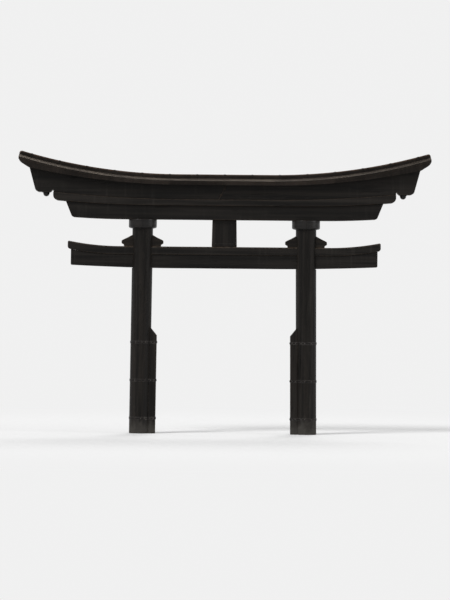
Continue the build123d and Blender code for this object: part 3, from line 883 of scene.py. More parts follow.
# %% [markdown]
# ### Iron straps
#
# Three iron straps hold each jamb to its pillar, bent hot and nailed. A Curve with a bevel could follow the
# two posts, but its section would turn round in the tight corners. So the bar's section is carried along a
# closed path worked out from both posts, always upright and always pointing away from the wood.

# %% The path of a strap
def strap_path():
    """Round the pillar, along two straight sides of the jamb and across its face, with eased corners."""
    reach, half, face = pillar_radius + fit, jamb_half + fit, jamb_face + fit
    join = math.asin(half / reach) + 0.03
    turn = np.linspace(join, turn_round - join, 60)
    arc = np.stack([reach * np.cos(turn), reach * np.sin(turn)], axis=1)
    beside_pillar = math.sqrt(reach**2 - half**2)
    low_in, low_out, high_out, high_in = [
        [beside_pillar, -half], [face, -half], [face, half], [beside_pillar, half]
    ]
    return np.concatenate([
        arc,
        corner(low_in, arc[-1], low_out, 0.012),
        corner(low_out, low_in, high_out, 0.009),
        corner(high_out, low_out, high_in, 0.009),
        corner(high_in, high_out, arc[0], 0.012),
    ])


print("a strap is", round(float(run_along(strap_path())[-1]), 2), "m long")


# %% Iron straps
def strap(side, level, tone):
    """The bar is 56 mm high and 7 mm thick, with its long edges eased, and carried along its path. Nails go
    through it into the jamb's sides and face and into the pillar."""
    path = strap_path()
    outwards = drawn_in(path, -1.0) - path
    outwards /= np.maximum(np.linalg.norm(outwards, axis=1, keepdims=True), 1)
    lower = np.array([[0, -0.0265], [0.0012, -0.028], [0.0055, -0.028], [0.007, -0.0262]])
    bar = np.concatenate([lower, [[0.0074, 0.0]], lower[::-1] * [1, -1]])
    bar_worn = np.array([0.3, 0.8, 1, 0.9, 0.1, 0.9, 1, 0.8, 0.3])[:, None]

    def stand(u, v, up):
        """u in from the pillar's axis, v across, and up from the strap's own level."""
        return np.stack([axis_of(side)(level) - side * u, v, level + up], axis=-1)

    reach, face = pillar_radius + fit, jamb_face + fit
    spots = [(u, s * jamb_half + s * fit, 0, s) for u in (0.232, 0.305) for s in (-1, 1)]
    spots += [(face, v, 1, 0) for v in (-0.072, 0.072)]
    for a in np.radians([62, 98, 134, 170, 206, 242, 278, 298]):
        spots.append((reach * math.cos(a), reach * math.sin(a), math.cos(a), math.sin(a)))
    u, v, du, dv = np.array(spots).T
    on_bar = 0.0072
    nails = stand(u + on_bar * du, v + on_bar * dv, 0 * u)
    aims = np.stack([-side * du, dv, 0 * du], axis=1)
    return [
        bent(path, outwards, bar, stand, worn=bar_worn, tone=tone),
        heads(nails, aims, 0.0125, 0.007, tone=tone, sides=12),
    ]


strap_levels = {"low": 0.330, "middle": 1.1575, "high": 1.985}
for side, word in both_sides:
    for tone, (place, level) in zip((0.3, 0.6, 0.45), strap_levels.items()):
        node = f"strap_{word}_{place}"
        piece(f"{node}_iron", strap(side, level, tone), iron_finish, [node])

# %% [markdown]
# ## Rings on the pillar tops
#
# The ring that eases each pillar into the lintel is turned in two halves and lacquered. A lathe profile gives
# its drum, two cut lines and the small step under it. The joint of the halves is a narrow groove on each
# side, so the profile's radius falls back near those two angles.

# %% Rings
def cut_line(radius, level, width=0.004, depth=0.0035):
    """Three profile points that fall back and return, as a cut line does."""
    return [(radius, level - width / 2), (radius - depth, level), (radius, level + width / 2)]


def ring(side):
    """The profile goes up the outside and closes along the bore. Each column is the profile, less 4 mm
    beside the joint."""
    top, wide, bore = pillar_top, 0.306, pillar_radius + fit
    foot, drum = top - 0.196, wide - 0.0005
    step = foot + 0.006
    profile = [(bore, foot), (0.246, foot), (0.2485, foot + 0.0022), (0.2488, step)]
    profile += [tuple(p) for p in corner([wide, step], [0.2, step], [wide, top], 0.040, steps=9)]
    profile += [*cut_line(drum, foot + 0.062), (wide - 0.0002, foot + 0.082), *cut_line(drum, top - 0.034)]
    profile += [(drum, top - 0.006), (wide - 0.0035, top - 0.0006), (wide - 0.0065, top - 0.0001)]
    profile = np.array(profile + [(bore, top - 0.0001)])

    joints = np.array([0.5, 1.5]) * math.pi + 0.013
    beside_joint = np.array([-0.0026, -0.0008, 0.0008, 0.0026]) / wide
    angle = with_lines(np.linspace(0, turn_round, 120, endpoint=False), joints, beside_joint)
    off = np.abs(angle - joints[:, None]).min(axis=0) * wide
    groove = np.clip(1 - off / 0.0024, 0, 1) * 0.004
    steepness = np.arctan2(np.gradient(profile[:, 1]), np.gradient(profile[:, 0]))
    worn = np.clip(np.abs(np.gradient(steepness)) * 1.4, 0, 1)[:, None] + (groove > 0) * 0.5
    outside = profile[:, :1] > 0.25
    return turned(profile, axis_of(side), angle, np.clip(worn, 0, 1), groove * outside, closed=True)


for side, word in both_sides:
    piece(f"ring_{word}_lacquered", [ring(side)], lacquer_finish, [f"daiwa_{word}"])

# %% [markdown]
# ## Tie beam and cap
#
# The tie beam passes through both pillars. A wider cap lies on it, weathered along its upper edges so that
# rain runs off, and its ends reach past the beam as rounded noses. Both are timbers cut to an outline, each
# with its own arris, so that one function makes them and the other beams too.

# %% Tie beam and its cap
beam_uneven = (0.0012, (1.4, 0.4, 0.35))


def even_outline(lower, upper, end, radii, count, steps):
    """An outline that is alike left and right. end is x at the bottom and at the top of the right end, or
    one x for both, and radii the rounding of its lower and its upper corner."""
    low, high = np.broadcast_to(end, 2)
    return outline(lower, upper, ((-low, -high), (low, high)), (radii, radii), count, steps)


def beam(name, node, edges, half_width, pith, **cut):
    """A timber that lies along the gate, as wide to the front as to the back."""
    sawn = timber(edges, (-half_width, half_width), **cut)
    piece(name, sawn, beam_finish, [node], grain=("x", pith), uneven=beam_uneven)


edges = even_outline(tie_foot, lifted(tie_top, -0.0002), tie_end, (0.028, 0.008), 200, 8)
beam("tie_beam", "nuki", edges, 0.080, pith=(0.13, 3.62), rows=7)
edges = even_outline(lifted(tie_top, 0.0003), cap_top, 3.408, (0.066, 0.028), 200, 10)
beam(
    "tie_beam_cap", "nuki_cap", edges, 0.108, pith=(-0.05, 4.16),
    arris=0.006, top_arris=0.026, flat=True, rows=4, tone=0.62,
)

# %% [markdown]
# ### Wedges
#
# Wedges driven in from both sides lock the two beams in the pillar's mortise. Each has a foot below and a
# hollow slope above, which end in a rounded nose. Both edges are straight runs with rounded corners, laid out
# with as many points each, and the wedge leans with its pillar.

# %% Wedges
seat = 4.0723


def wedge(side, way):
    """Lower edge: from inside the pillar along the seat, up the foot's end and out under the nose. Upper
    edge: from inside the pillar down a hollow slope to the nose. Both are measured out from the pillar's
    side."""
    inside, nose, nose_height = -0.05, 0.2315, 0.092
    lower = [[inside, 0.0], [0.183, 0.0], [0.181, 0.034], [nose, 0.062], [nose, nose_height]]
    upper = [[inside, 0.245], [0.004, 0.245], [0.100, 0.191], [0.187, 0.150], [nose, 0.126], lower[-1]]
    low = rounded_path(lower, (0.011, 0.010, 0.024), 48)
    high = rounded_path(upper, (0.012, 0.10, 0.05, 0.024), 48)
    high[-1] += [-0.0006, 0.0012]

    def stand(along, across, up):
        """Along from the pillar's leaning side, and up from the seat."""
        x = axis_of(side)(seat + up) + side * way * (pillar_radius + along)
        return np.stack([x, across, seat + up], axis=-1)

    return timber((low, high), (-0.075, 0.075), arris=0.010, rows=5, stand=stand, tone=0.45 + 0.1 * way)


for side, word in both_sides:
    for way, place in ((1, "outer"), (-1, "inner")):
        node = f"wedge_{word}_{place}"
        piece(
            f"{node}_block", wedge(side, way), wedge_finish, [node],
            grain=("x", (0.03, 4.02)), uneven=(0.0008, (0.5, 0.3, 0.3)),
        )

# %% [markdown]
# ## Strut
#
# The short strut in the middle carries the lintel between the pillars. It stands on end like the jambs, a
# little wider at its foot, with its corners taken off and a sunk field on both faces. The field needs no
# Boolean: the rim's own rings go on over the face, drawn further in and step by step deeper.

# %% Strut
def strut():
    """Half its width goes in a straight line from 0.274 at the foot to 0.263 at the head."""
    foot_half, head_half = 0.274, 0.263

    def half(z):
        """foot + (head - foot) * the share of the way up."""
        return foot_half + (z - seat) / (pillar_top - seat) * (head_half - foot_half)

    def stand(along, across, up):
        """On end: the outline's own length goes upwards."""
        return np.stack([gate_middle + up, across, along], axis=-1)

    corners = ((0.014, 0.014), (0.014, 0.014))
    edges = outline(lambda z: -half(z), half, ((seat, seat), (pillar_top, pillar_top)), corners, 24)
    field = ((0.048, 0.0), (0.052, 0.0015), (0.058, 0.009), (0.066, 0.0125), (0.070, 0.014))
    return timber(edges, (-0.09, 0.09), arris=0.012, flat=True, rows=14, field=field, stand=stand)


piece(
    "strut", strut(), beam_finish, ["gakuzuka"],
    grain=("z", (gate_middle + 0.05, 0.16)), uneven=(0.001, (0.3, 0.3, 0.9)),
)

# %% [markdown]
# ## Lintels
#
# The lower lintel has slanted ends with a large round below, and a board reaches past it on all sides. The
# slant needs no cut afterwards, because an outline's end takes one x for the bottom and one for the top. The
# board's own corners are rounded so far that they fall back like a slant.

# %% Lower lintel and bed board
lintel_head = lintel_end + 0.42 * (lintel_top(lintel_end) - lintel_foot(lintel_end))
lintel_ends = (lintel_end, lintel_head)
edges = even_outline(lintel_foot, lifted(lintel_top, -0.0003), lintel_ends, (0.070, 0.010), 200, 10)
beam("lower_lintel", "shimaki", edges, 0.160, pith=(0.19, 4.70), arris=0.008, rows=7, tone=0.38)
edges = even_outline(lintel_top, lifted(board_top, -0.0003), board_end, (0.110, 0.012), 220, 12)
beam("bed_board_plank", "bed_board", edges, 0.220, pith=(-0.3, 5.25), arris=0.009, rows=5, tone=0.72)

# %% [markdown]
# ### Upper lintel
#
# The upper lintel is longer than most trunks, so it is made of two lengths that meet in a slanted scarf in
# the middle, held by two hardwood pins. Just past the board's end a small notch lets the rain drip off. A
# Boolean cut would leave thin faces fanning out from the notch. So the outline itself goes up into it and
# down again, and the upper edge gets as many points above it.

# %% The upper lintel's lines
kasagi_foot, kasagi_half, end_slope = float(board_top(board_end)), 0.182, 0.27
pitch, deck_thick = 0.27, 0.046
soffit = lifted(ridge, -deck_thick - pitch * kasagi_half)


def slanted_end(line):
    """x where the slanted end meets a line above it, closed in on in a few steps."""
    x = kasagi_end
    for _ in range(8):
        x = kasagi_end + end_slope * (float(line(x)) - kasagi_foot)
    return x


def on_line(line, x):
    """The points of a line, as (x, height)."""
    return np.stack([x, line(x)], axis=-1)


def scarf_x(height):
    """x of the slanted joint at a height."""
    run, tall = 0.26, 0.492
    return run * (height - board_level) / tall - run / 2


print("the upper lintel's ends slant out by", round(1000 * (slanted_end(soffit) - kasagi_end)), "mm")


# %% The drip notch
notch_from, notch_crest, notch_to = 3.660, 3.738, 3.800
notch_top, notch_start = kasagi_foot + 0.050, [notch_from, float(board_top(notch_from))]
notch_rise = [notch_start, [board_end, kasagi_foot], [board_end, notch_top], [notch_crest, notch_top]]
notch_rise = rounded_path(notch_rise, (0.0095, 0.006), 36)
notch_fall = [[notch_crest, notch_top], [3.748, notch_top], [3.792, kasagi_foot], [notch_to, kasagi_foot]]
notch_fall = rounded_path(notch_fall, (0.006, 0.010), 27)
print("notch in the upper lintel:", round(notch_to - board_end, 3), "m wide")


# %% Upper lintel in two lengths
def upper_lintel(side):
    """Worked out for u = side * x, from the scarf outwards. Lower edge: along the bed board, up and round the
    notch past the board's end, then level to the slanted end. The upper edge's points are shared out over
    the same stretches, so that no ruled line crosses the notch."""
    inner = [side * scarf_x(z) + 0.0005 for z in (board_level, float(soffit(0.0)))]
    ends = (inner, (kasagi_end, slanted_end(soffit)))

    def level(u):
        """Along the bed board, and level past its end."""
        return np.where(u > board_end, kasagi_foot, board_top(u))

    arc = 9
    low, high = outline(level, soffit, ends, ((0.010, 0.010), (0.095, 0.010)), 2, arc)
    along = np.linspace(low[arc - 1, 0], notch_from, 118)[1:-1]
    shelf = np.linspace(notch_to, low[-arc, 0], 14)[1:-1]
    over = np.concatenate([
        np.linspace(high[arc - 1, 0], notch_from, 118)[1:-1],
        np.linspace(notch_from, board_end, 32),
        np.linspace(board_end, notch_crest, 5)[1:],
        np.linspace(notch_crest, notch_to, 27)[1:],
        np.linspace(notch_to, high[-arc, 0], 14)[1:-1],
    ])
    stretches = ((board_top, along), (level, shelf), (soffit, over))
    along, shelf, over = [on_line(line, x) for line, x in stretches]
    low = np.concatenate([low[:arc], along, notch_rise, notch_fall[1:], shelf, low[-arc:]])
    high = np.concatenate([high[:arc], over, high[-arc:]])
    return (low, high) if side > 0 else (low[::-1] * [-1, 1], high[::-1] * [-1, 1])


for side, word in both_sides:
    beam(
        f"upper_lintel_{word}", f"kasagi_{word}", upper_lintel(side), kasagi_half,
        pith=(0.1 * side, 5.12), arris=0.009, rows=7, tone=0.5 + 0.08 * side,
    )


# %% Pins of the scarf
def pin(height):
    """A square pin driven through the scarf, 42 mm a side, whose ends stand 6 mm proud."""
    x, half, radii = scarf_x(height), 0.021, ((0.006, 0.006), (0.006, 0.006))
    foot, head = lambda at: height - half + 0 * at, lambda at: height + half + 0 * at
    edges = outline(foot, head, ((x - half,) * 2, (x + half,) * 2), radii, 4, 4)
    return timber(edges, (-0.188, 0.188), arris=0.005, rows=3, tone=0.9)


piece("scarf_pins", pin(5.20) + pin(5.33), wedge_finish, grain=("x", (0.0, 5.2)))

# %% [markdown]
# ## Turned drops
#
# Under each end of the upper lintel hangs a small turned drop: a thin collar, a cut line and a ball. It is a
# lathe piece like the rings, and its collar lies flat against the level underside of the lintel's end.

# %% Drops
drop_at = 3.887


def drop(side):
    """Profile: a ball of 69 mm radius up to its widest, a quirk, and a collar of 88 mm radius with eased
    edges, all measured from the lintel."""
    seat_above, ball, length = kasagi_foot - fit, 0.0689, 0.0956
    bulb = np.linspace(-0.5 * math.pi, 0.045 * math.pi, 14)
    profile = [(ball * math.cos(a), ball * (1 + math.sin(a)) - length) for a in bulb]
    profile += [(0.0660, -0.0168), (0.0640, -0.0158), (0.0660, -0.0150), (0.0800, -0.0150)]
    profile += [(0.0860, -0.0142), (0.0880, -0.0112), (0.0880, -0.0045), (0.0868, -0.0012)]
    profile += [(0.0850, 0.0), (0.0, 0.0)]
    profile = np.array(profile) + [0, seat_above]
    worn = np.zeros((len(profile), 1))
    worn[[12, 13, 18, 19]] = 0.8
    angle = np.linspace(0, turn_round, 48, endpoint=False)
    return turned(profile, lambda height: gate_middle + side * drop_at + 0 * height, angle, worn)


for side, word in both_sides:
    piece(f"drop_{word}_turned", [drop(side)], lacquer_finish, [f"drop_{word}"])

# %% [markdown]
# ## Roof
#
# Two sloping decks of boards lie over the upper lintel, with an upright eave board along each long side and
# a bent one at each end. A deck could be turned about the ridge, but the ridge is no straight line. So it is
# a timber like the beams, and its stand function takes the pitch off its height.

# %% Decks of the roof
eave_inner = 0.330


def deck(way):
    """A board under the sheets: its height falls by the pitch times the distance from the ridge."""
    edges = even_outline(lifted(ridge, -deck_thick), ridge, roof_end_x - 0.004, (0.004, 0.004), 180, 4)

    def stand(along, across, up):
        """Down the slope, 3 mm under the sheets."""
        return beside(along, way * across, up - pitch * np.abs(across) - 0.003)

    return timber(edges, (0.0004, eave_inner - 0.0006), arris=0.002, rows=2, stand=stand)


for way, word in both_faces:
    piece(
        f"roof_{word}_deck", deck(way), beam_finish, grain=("x", (0.4 * way, 5.3)),
        uneven=(0.0006, (1.4, 0.4, 0.35)),
    )

# %% [markdown]
# ### Copper sheets
#
# The slopes are laid with thin copper in three lapping courses, each sheet folded along its lower edge. A
# bump on one big face would look like it from afar, but not along the edges, where the light catches the
# laps. So each sheet is a closed strip with a folded hem, and all sheets of a course are one array.

# %% A copper sheet
sheet_length, sheet_width, lap, joint = 0.455, 0.1155, 0.016, 0.002
first_course, last_edge, step_up = 0.050, 0.366, 0.0002
sheet_section = np.array([
    [0, 0.0006], [0.5, 0.0020], [0.93, 0.0038], [0.985, 0.0046], [1.0, 0.0034],
    [0.985, 0.0022], [0.93, 0.0019], [0.5, 0.0006], [0, 0.0],
])
sheet_share = np.array([0, 0.004, 0.012, 0.25, 0.5, 0.75, 0.988, 0.996, 1])
sheet_closing = np.array([0, 1, 1, 1, 1, 1, 1, 1, 0.0])
sheet_worn = np.zeros((9, 9))
sheet_worn[2:6] = 0.8
sheet_worn[:, [0, 1, -2, -1]] = 0.6
print("a copper sheet:", sheet_length, "by", round(sheet_width + lap, 3), "m")


# %% Copper sheets on the slopes
def slope_sheets(way, seed):
    """Three lapping courses of sheets. Across the slope a sheet is a flat loop: its upper side rises by 4 mm
    to a folded hem, and its lower side returns. Along x it draws together at both ends, so each sheet is
    closed."""
    draw = np.random.default_rng(seed)
    across_share, height = sheet_section[:, :1], sheet_section[:, 1:]
    end = roof_end_x - 0.006
    grids = []
    for course, start in enumerate(np.linspace(first_course, last_edge - sheet_width, 3)):
        left = np.arange(0.5 * sheet_length * (course % 2) - roof_end_x - 0.2, roof_end_x, sheet_length)
        right = np.minimum(left + sheet_length - joint, end)
        left = np.maximum(left, -end)
        left, right = np.stack([left, right])[:, right - left > 0.05, None, None]
        x = left + (right - left) * sheet_share
        across = start + (sheet_width + lap * (course < 2)) * across_share
        lift = height.mean() + (height - height.mean()) * sheet_closing
        belly = 0.0011 * np.sin(math.pi * sheet_share) * np.sin(math.pi * across_share)
        belly = belly * draw.uniform(-0.6, 1.0, len(left))[:, None, None]
        z = ridge(x) - pitch * across + lift + belly + step_up * course
        tones = draw.uniform(0, 1, len(left))[:, None, None]
        points = beside(x + 0 * z, way * across + 0 * z, z)
        grids.append(patch(points, sheet_worn, tones, closed=(True, False)))
    return grids


# %% Rolled edges
def rolled_edge(path, radius, stand):
    """A round bead along a path in elevation, drawn together at both ends."""
    angle = np.linspace(0, turn_round, 10, endpoint=False)
    out, over = radius * np.cos(angle)[:, None, None], radius * np.sin(angle)[:, None]
    plan = path + leftwards(np.gradient(path, axis=0)) * out
    across = over + np.zeros(len(path))
    plan = np.concatenate([path[:1] + 0 * plan[:, :1], plan, path[-1:] + 0 * plan[:, :1]], axis=1)
    across = np.pad(across, [(0, 0), (1, 1)])
    return patch(stand(plan[..., 0], across, plan[..., 1]), worn=0.35, closed=(True, False))


def slope_bead(way):
    """The rolled lower edge of a slope's sheets."""
    edge_at, end = 0.3655, roof_end_x - 0.008
    path = on_line(lifted(ridge, 0.0015 - pitch * edge_at), np.linspace(-end, end, 220))

    def stand(along, across, up):
        """Round the line of the slope's lower edge."""
        return beside(along, way * (edge_at + 0.0003 + across), up)

    return rolled_edge(path, 0.0058, stand)


for way, word in both_faces:
    laid = slope_sheets(way, 5 + way) + [slope_bead(way)]
    piece(f"roof_{word}_sheets", laid, copper_finish, [f"roof_{word}"])

# %% [markdown]
# ### Eave boards
#
# An eave board closes each long side of the roof and gives the gate its sweeping line. Its lower edge follows
# the eave, bends up past the lintel's end and closes with a large round, the nose. A straight board with a
# Curve modifier would bend its seams and nails as well. Here both edges are functions of x, and seams, nails
# and bead ask them where they lie.

# %% The eave line and its nose
nose_start = slanted_end(eave_foot)
nose_lift, nose_round, verge = 0.143, 0.135, 0.0035
nose_slope = nose_lift / (roof_end_x - nose_start)
eave_top = lifted(ridge, -pitch * eave_inner - 0.006)


def eave_bottom(x):
    """The eave line up to the upper lintel's end, and from there a straight rise to the nose. The two go over
    into each other along a hyperbola instead of a kink."""
    past, bend = np.abs(x) - nose_start, 0.012
    return eave_foot(np.minimum(np.abs(x), nose_start)) + nose_slope * (past + np.sqrt(past**2 + bend**2)) / 2


def eave_edges():
    """The eave board's outline, its noses rounded."""
    return even_outline(eave_bottom, eave_top, roof_end_x - verge - 0.0008, (nose_round, 0.006), 240, 16)


print("the noses begin", round(nose_start, 3), "m from the middle and rise by", nose_lift, "m")


# %% Seams and nails of the copper
seam_far, seam_pitch, nail_radius = 4.2, 0.6, 0.0056
seam_x = np.arange(-seam_far, seam_far + 0.01, seam_pitch)


def seam(stand, step, crown, count):
    """A lock seam: a low ridge carried over the copper and drawn together at both ends. stand takes how far
    along each of its points lies, as a share, beside its line and out from the copper."""
    section = np.array([[-0.012, -0.001], [-0.010, step], [0.004, crown], [0.010, crown], [0.012, -0.001]])
    share = np.linspace(0, 1, count)
    closing = (share > 0) * (share < 1)
    points = stand(share + 0 * section[:, :1], section[:, :1] * closing, section[:, 1:] * closing)
    return patch(points, worn=0.6, tone=0.35, closed=(True, False))


# %% Eave boards clad in copper
eave_outer, lath_proud = 0.3632, 0.0062


def eave(way):
    """The clad board and, 6 mm further out, a lath over its top 45 mm, with lock seams up to the lath and a
    bead along the lower edge."""
    low, high = eave_edges()

    def stand(along, across, up):
        """To the front or the back, as way says."""
        return beside(along, way * across, up)

    def on_bead(along, across, up):
        """Round a line just outside the board's face."""
        return stand(along, eave_outer + 0.0008 + across, up)

    def on_face(share, beside_it, out):
        """A seam's point: bottom + (top - bottom) * share, beside its line and out from the face."""
        at = seam_x[:, None, None]
        x, bottom, top = at + beside_it, eave_bottom(at) + 0.010, eave_top(at) - 0.044
        return stand(x, eave_outer + out + 0 * x, bottom + (top - bottom) * share)

    lath = (lifted(eave_top, -0.047), lifted(eave_top, -0.0015))
    lath = even_outline(*lath, roof_end_x - verge - 0.0012, (0.004, 0.004), 220, 4)
    bead_path = drawn_in(np.concatenate([low, high[::-1]]), 0.0062)[: len(low)]
    grids = timber((low, high), (eave_outer, 0.3302), arris=0.003, rows=5, stand=stand)
    grids += timber(lath, (eave_outer + lath_proud, eave_outer - 0.002), arris=0.0022, rows=3, stand=stand)
    return grids + [rolled_edge(bead_path, 0.0066, on_bead), seam(on_face, 0.0028, 0.0046, 9)]


# %% Nails and panels of the eaves
def eave_nails(way):
    """A row of copper nails along the board and another in the lath, every 100 mm, but none on a seam."""
    x, half = np.arange(-4.25, 4.26, 0.1), seam_pitch / 2
    x = x[np.abs((x + seam_far + half) % seam_pitch - half) > 0.02]
    rows = []
    for line, up, out, proud in ((eave_bottom, 0.020, 0.0, 0.0034), (eave_top, -0.030, lath_proud, 0.0018)):
        centres = beside(x, way * (eave_outer + out) + 0 * x, line(x) + up)
        aims = np.broadcast_to([0.0, way, 0.0], centres.shape)
        rows.append(heads(centres, aims, nail_radius, proud, tone=0.2, sides=8))
    return rows


def panel_tones(seed):
    """One tone for each clad panel between two seams, with a step at each seam."""
    count = len(seam_x) + 2
    table = np.random.default_rng(seed).uniform(0, 1, count)

    def tones(points):
        """The panel's number is the way past the first seam, over the seams' distance."""
        panel = (points[:, 0] - gate_middle + seam_far + seam_pitch) / seam_pitch
        return table[np.clip(panel.astype(int), 0, count - 1)]

    return tones


copper_uneven = (0.0006, (0.7, 0.5, 0.4))
for way, word in both_faces:
    piece(
        f"eave_{word}_clad", eave(way) + eave_nails(way), copper_finish, [f"eave_{word}"],
        uneven=copper_uneven, tones=panel_tones(40 + way),
    )

# %% [markdown]
# ## Ends of the roof
#
# A bent board closes each end between the two eave boards. It starts at the slanted end of the lintel,
# follows the nose and goes up to the slopes, clad in copper with two lock seams and a row of nails along each
# edge. A strip folded over the end of each slope covers the joint. A single sheet with a Solidify modifier
# would be quicker, but its edges would stand off the slopes. So both faces of the board are worked out, each
# up to the slope.

# %% The line of the bent boards
end_board_half, slope_under = 0.3296, 0.041
end_crown = float(ridge(roof_end_x)) - slope_under


def end_path():
    """The outer face of a bent board: the eaves' own outline from the lintel to the crown, as even points,
    with the normal that points inwards and how far along each point lies."""
    low, _ = eave_edges()
    bend = low[low[:, 0] > nose_start + 0.003]
    path = np.concatenate([bend, [[bend[-1, 0], end_crown]]])
    even = np.linspace(0, run_along(path)[-1], 70)
    path = at_distance(path, even)
    normal = leftwards(np.gradient(path, axis=0))
    return path + 0.0012 * normal, normal, even


print("a bent board is", round(float(end_path()[2][-1]), 3), "m long round its bend")


# %% Bent boards at the ends
def end_board(side):
    """At each of 25 places across, the outer face and an inner one 39 mm further in along the normal run up
    to the slopes, where z = crown - pitch * |y|. Both are shared out evenly up to there, and the loop of the
    two is carried from one eave board to the other."""
    path, normal, _ = end_path()
    across = np.linspace(-end_board_half, end_board_half, 25)
    faces = []
    for line in (path, path + 0.039 * normal):
        reach = np.interp(end_crown - pitch * np.abs(across), line[:, 1], run_along(line))
        points = at_distance(line, reach[:, None] * np.linspace(0, 1, 60))
        faces.append(beside(side * points[..., 0], across[:, None] + 0 * points[..., 0], points[..., 1]))
    grids = [patch(np.concatenate([faces[0], faces[1][:, ::-1]], axis=1), closed=(False, True))]
    return grids + [patch(np.stack([faces[0][row], faces[1][row]])) for row in (0, -1)]


# %% Their seams and nails
def end_seams_and_nails(side):
    """Two lock seams run up each end, and copper nails go along its four edges: path - out * normal."""
    path, normal, reached = end_path()

    def on_face(y, distance, out):
        """The point that lies out from the copper at a distance along the path, and the way out there."""
        x, z, to_x, to_z = [np.interp(distance, reached, value) for value in (*path.T, *normal.T)]
        aims = np.stack([-side * to_x, 0 * to_x, -to_z], axis=-1)
        return beside(side * (x - out * to_x), y, z - out * to_z), aims

    def head_distance(y):
        """How far along the path the slope is met."""
        return np.interp(end_crown - pitch * np.abs(y), path[:, 1], reached)

    def seam_at(y):
        """A seam's line up the end, from 14 mm past its start to 16 mm short of the slope."""
        long = head_distance(y) - 0.030
        return lambda share, beside_it, out: on_face(y + beside_it, 0.014 + share * long, out)[0]

    grids = [seam(seam_at(y), 0.0026, 0.0040, 22) for y in (-0.11, 0.11)]
    across, rim_y = np.linspace(-0.27, 0.27, 10), 0.312
    rim = np.arange(0.03, float(head_distance(rim_y)) - 0.03, 0.06)
    y = np.concatenate([across, across, rim_y + 0 * rim, -rim_y + 0 * rim])
    distance = np.concatenate([0.022 + 0 * across, head_distance(across) - 0.022, rim, rim])
    centres, aims = on_face(y, distance, 0 * y)
    return grids + [heads(centres, aims, nail_radius, 0.0032, tone=0.2, sides=8)]


# %% Strips over the ends of the slopes
def verges(side):
    """A copper strip folded over the end of each slope: its section is an angle that lies 60 mm in on the
    sheets and hangs 52 mm down the end, and it is carried down the slope from the ridge to the eave. At both
    ends its outer and its inner line close on the line half way between them."""
    outer = np.array([[-60, 6.0], [-58, 7.4], [-6, 7.8], [-2, 6.6], [0, 3], [0, -52]]) / 1000
    inner = np.array([[-60, 4.6], [-58, 4.0], [-8, 4.0], [-5, 3], [-3, 0], [-3, -52]]) / 1000
    section, closed = np.concatenate([outer, inner[::-1]]), (outer + inner) / 2
    closed = np.concatenate([closed, closed[::-1]])
    share = np.array([0, 0, 0.03, 0.35, 0.7, 0.98, 1, 1])
    full = np.array([0, 1, 1, 1, 1, 1, 1, 0.0])
    out, up = [closed[:, [i]] + (section - closed)[:, [i]] * full for i in (0, 1)]
    slope_run = 0.3715
    across, x = share * slope_run - 0.001, roof_end_x - fit + out
    z = ridge(x) - pitch * across + up
    return [
        patch(beside(side * x, way * across + 0 * x, z), worn=0.5, tone=0.45, closed=(True, False))
        for way in (-1, 1)
    ]


for side, word in both_sides:
    clad = end_board(side) + end_seams_and_nails(side) + verges(side)
    piece(f"roof_end_{word}_board", clad, copper_finish, [f"roof_end_{word}"])


# %% [markdown]
# ## Ridge cap
#
# A copper-clad cap with its upper edges taken off covers the ridge, held by bands. It is one more timber cut
# to an outline, whose foot follows the slopes. A band is a strip bent over the cap's section, and all bands
# are one array, because the cap's foot says how high each has to sit.

# %% Ridge cap
cap_foot = lifted(ridge, -pitch * 0.084 + 0.003)


def ridge_cap():
    """A timber with its upper edges cut by 24 mm, its foot following the slopes."""
    edges = even_outline(cap_foot, lifted(ridge, 0.0588), roof_end_x - 0.0006, (0.004, 0.052), 220, 10)
    return timber(edges, (-0.081, 0.081), arris=0.002, top_arris=0.024, flat=True, rows=3, tone=0.4)


def ridge_bands():
    """Bands bent over the cap: each follows (half, up), 2 mm further out over its own width, and closes under
    the cap's edges."""
    half = np.array([0, 0.056, 0.059, 0.0805, 0.0815, 0.0815, 0.079])
    up = np.array([0.0812, 0.0812, 0.0800, 0.0575, 0.02, 0.002, 0.006])
    half, up = np.concatenate([-half[:0:-1], half]), np.concatenate([up[:0:-1], up])
    grown = np.array([-0.004, 0.0022, 0.0022, -0.004])[:, None]
    wide = np.array([-0.021, -0.019, 0.019, 0.021])[:, None]
    inside = np.ones(len(half), bool)
    inside[[0, -1]] = False
    x = seam_x[:, None, None] + wide + 0 * half
    z = cap_foot(x) + up + grown * (np.abs(half) < 0.0806)
    z = np.where(inside, z, z.mean(axis=1, keepdims=True))
    x, y = seam_x[:, None, None] + wide * inside, half + np.sign(half) * grown * inside
    return patch(beside(x, y + 0 * x, z), worn=0.6, tone=0.3, closed=(True, False))


capped = ridge_cap() + [ridge_bands()]
piece("ridge_cap_clad", capped, copper_finish, ["ridge_cap"], uneven=copper_uneven)

# %% [markdown]
# ## Floor
#
# The gate stands on a pale ground without a horizon. The floor catches the gate's shadow near by, and further
# out it goes over into the background's colour for the camera and for reflections alone. A backdrop curved up
# behind the gate would do it too, but it would show its bend from the sides.

# %% Floor
backdrop = (0.875, 0.875, 0.875, 1)


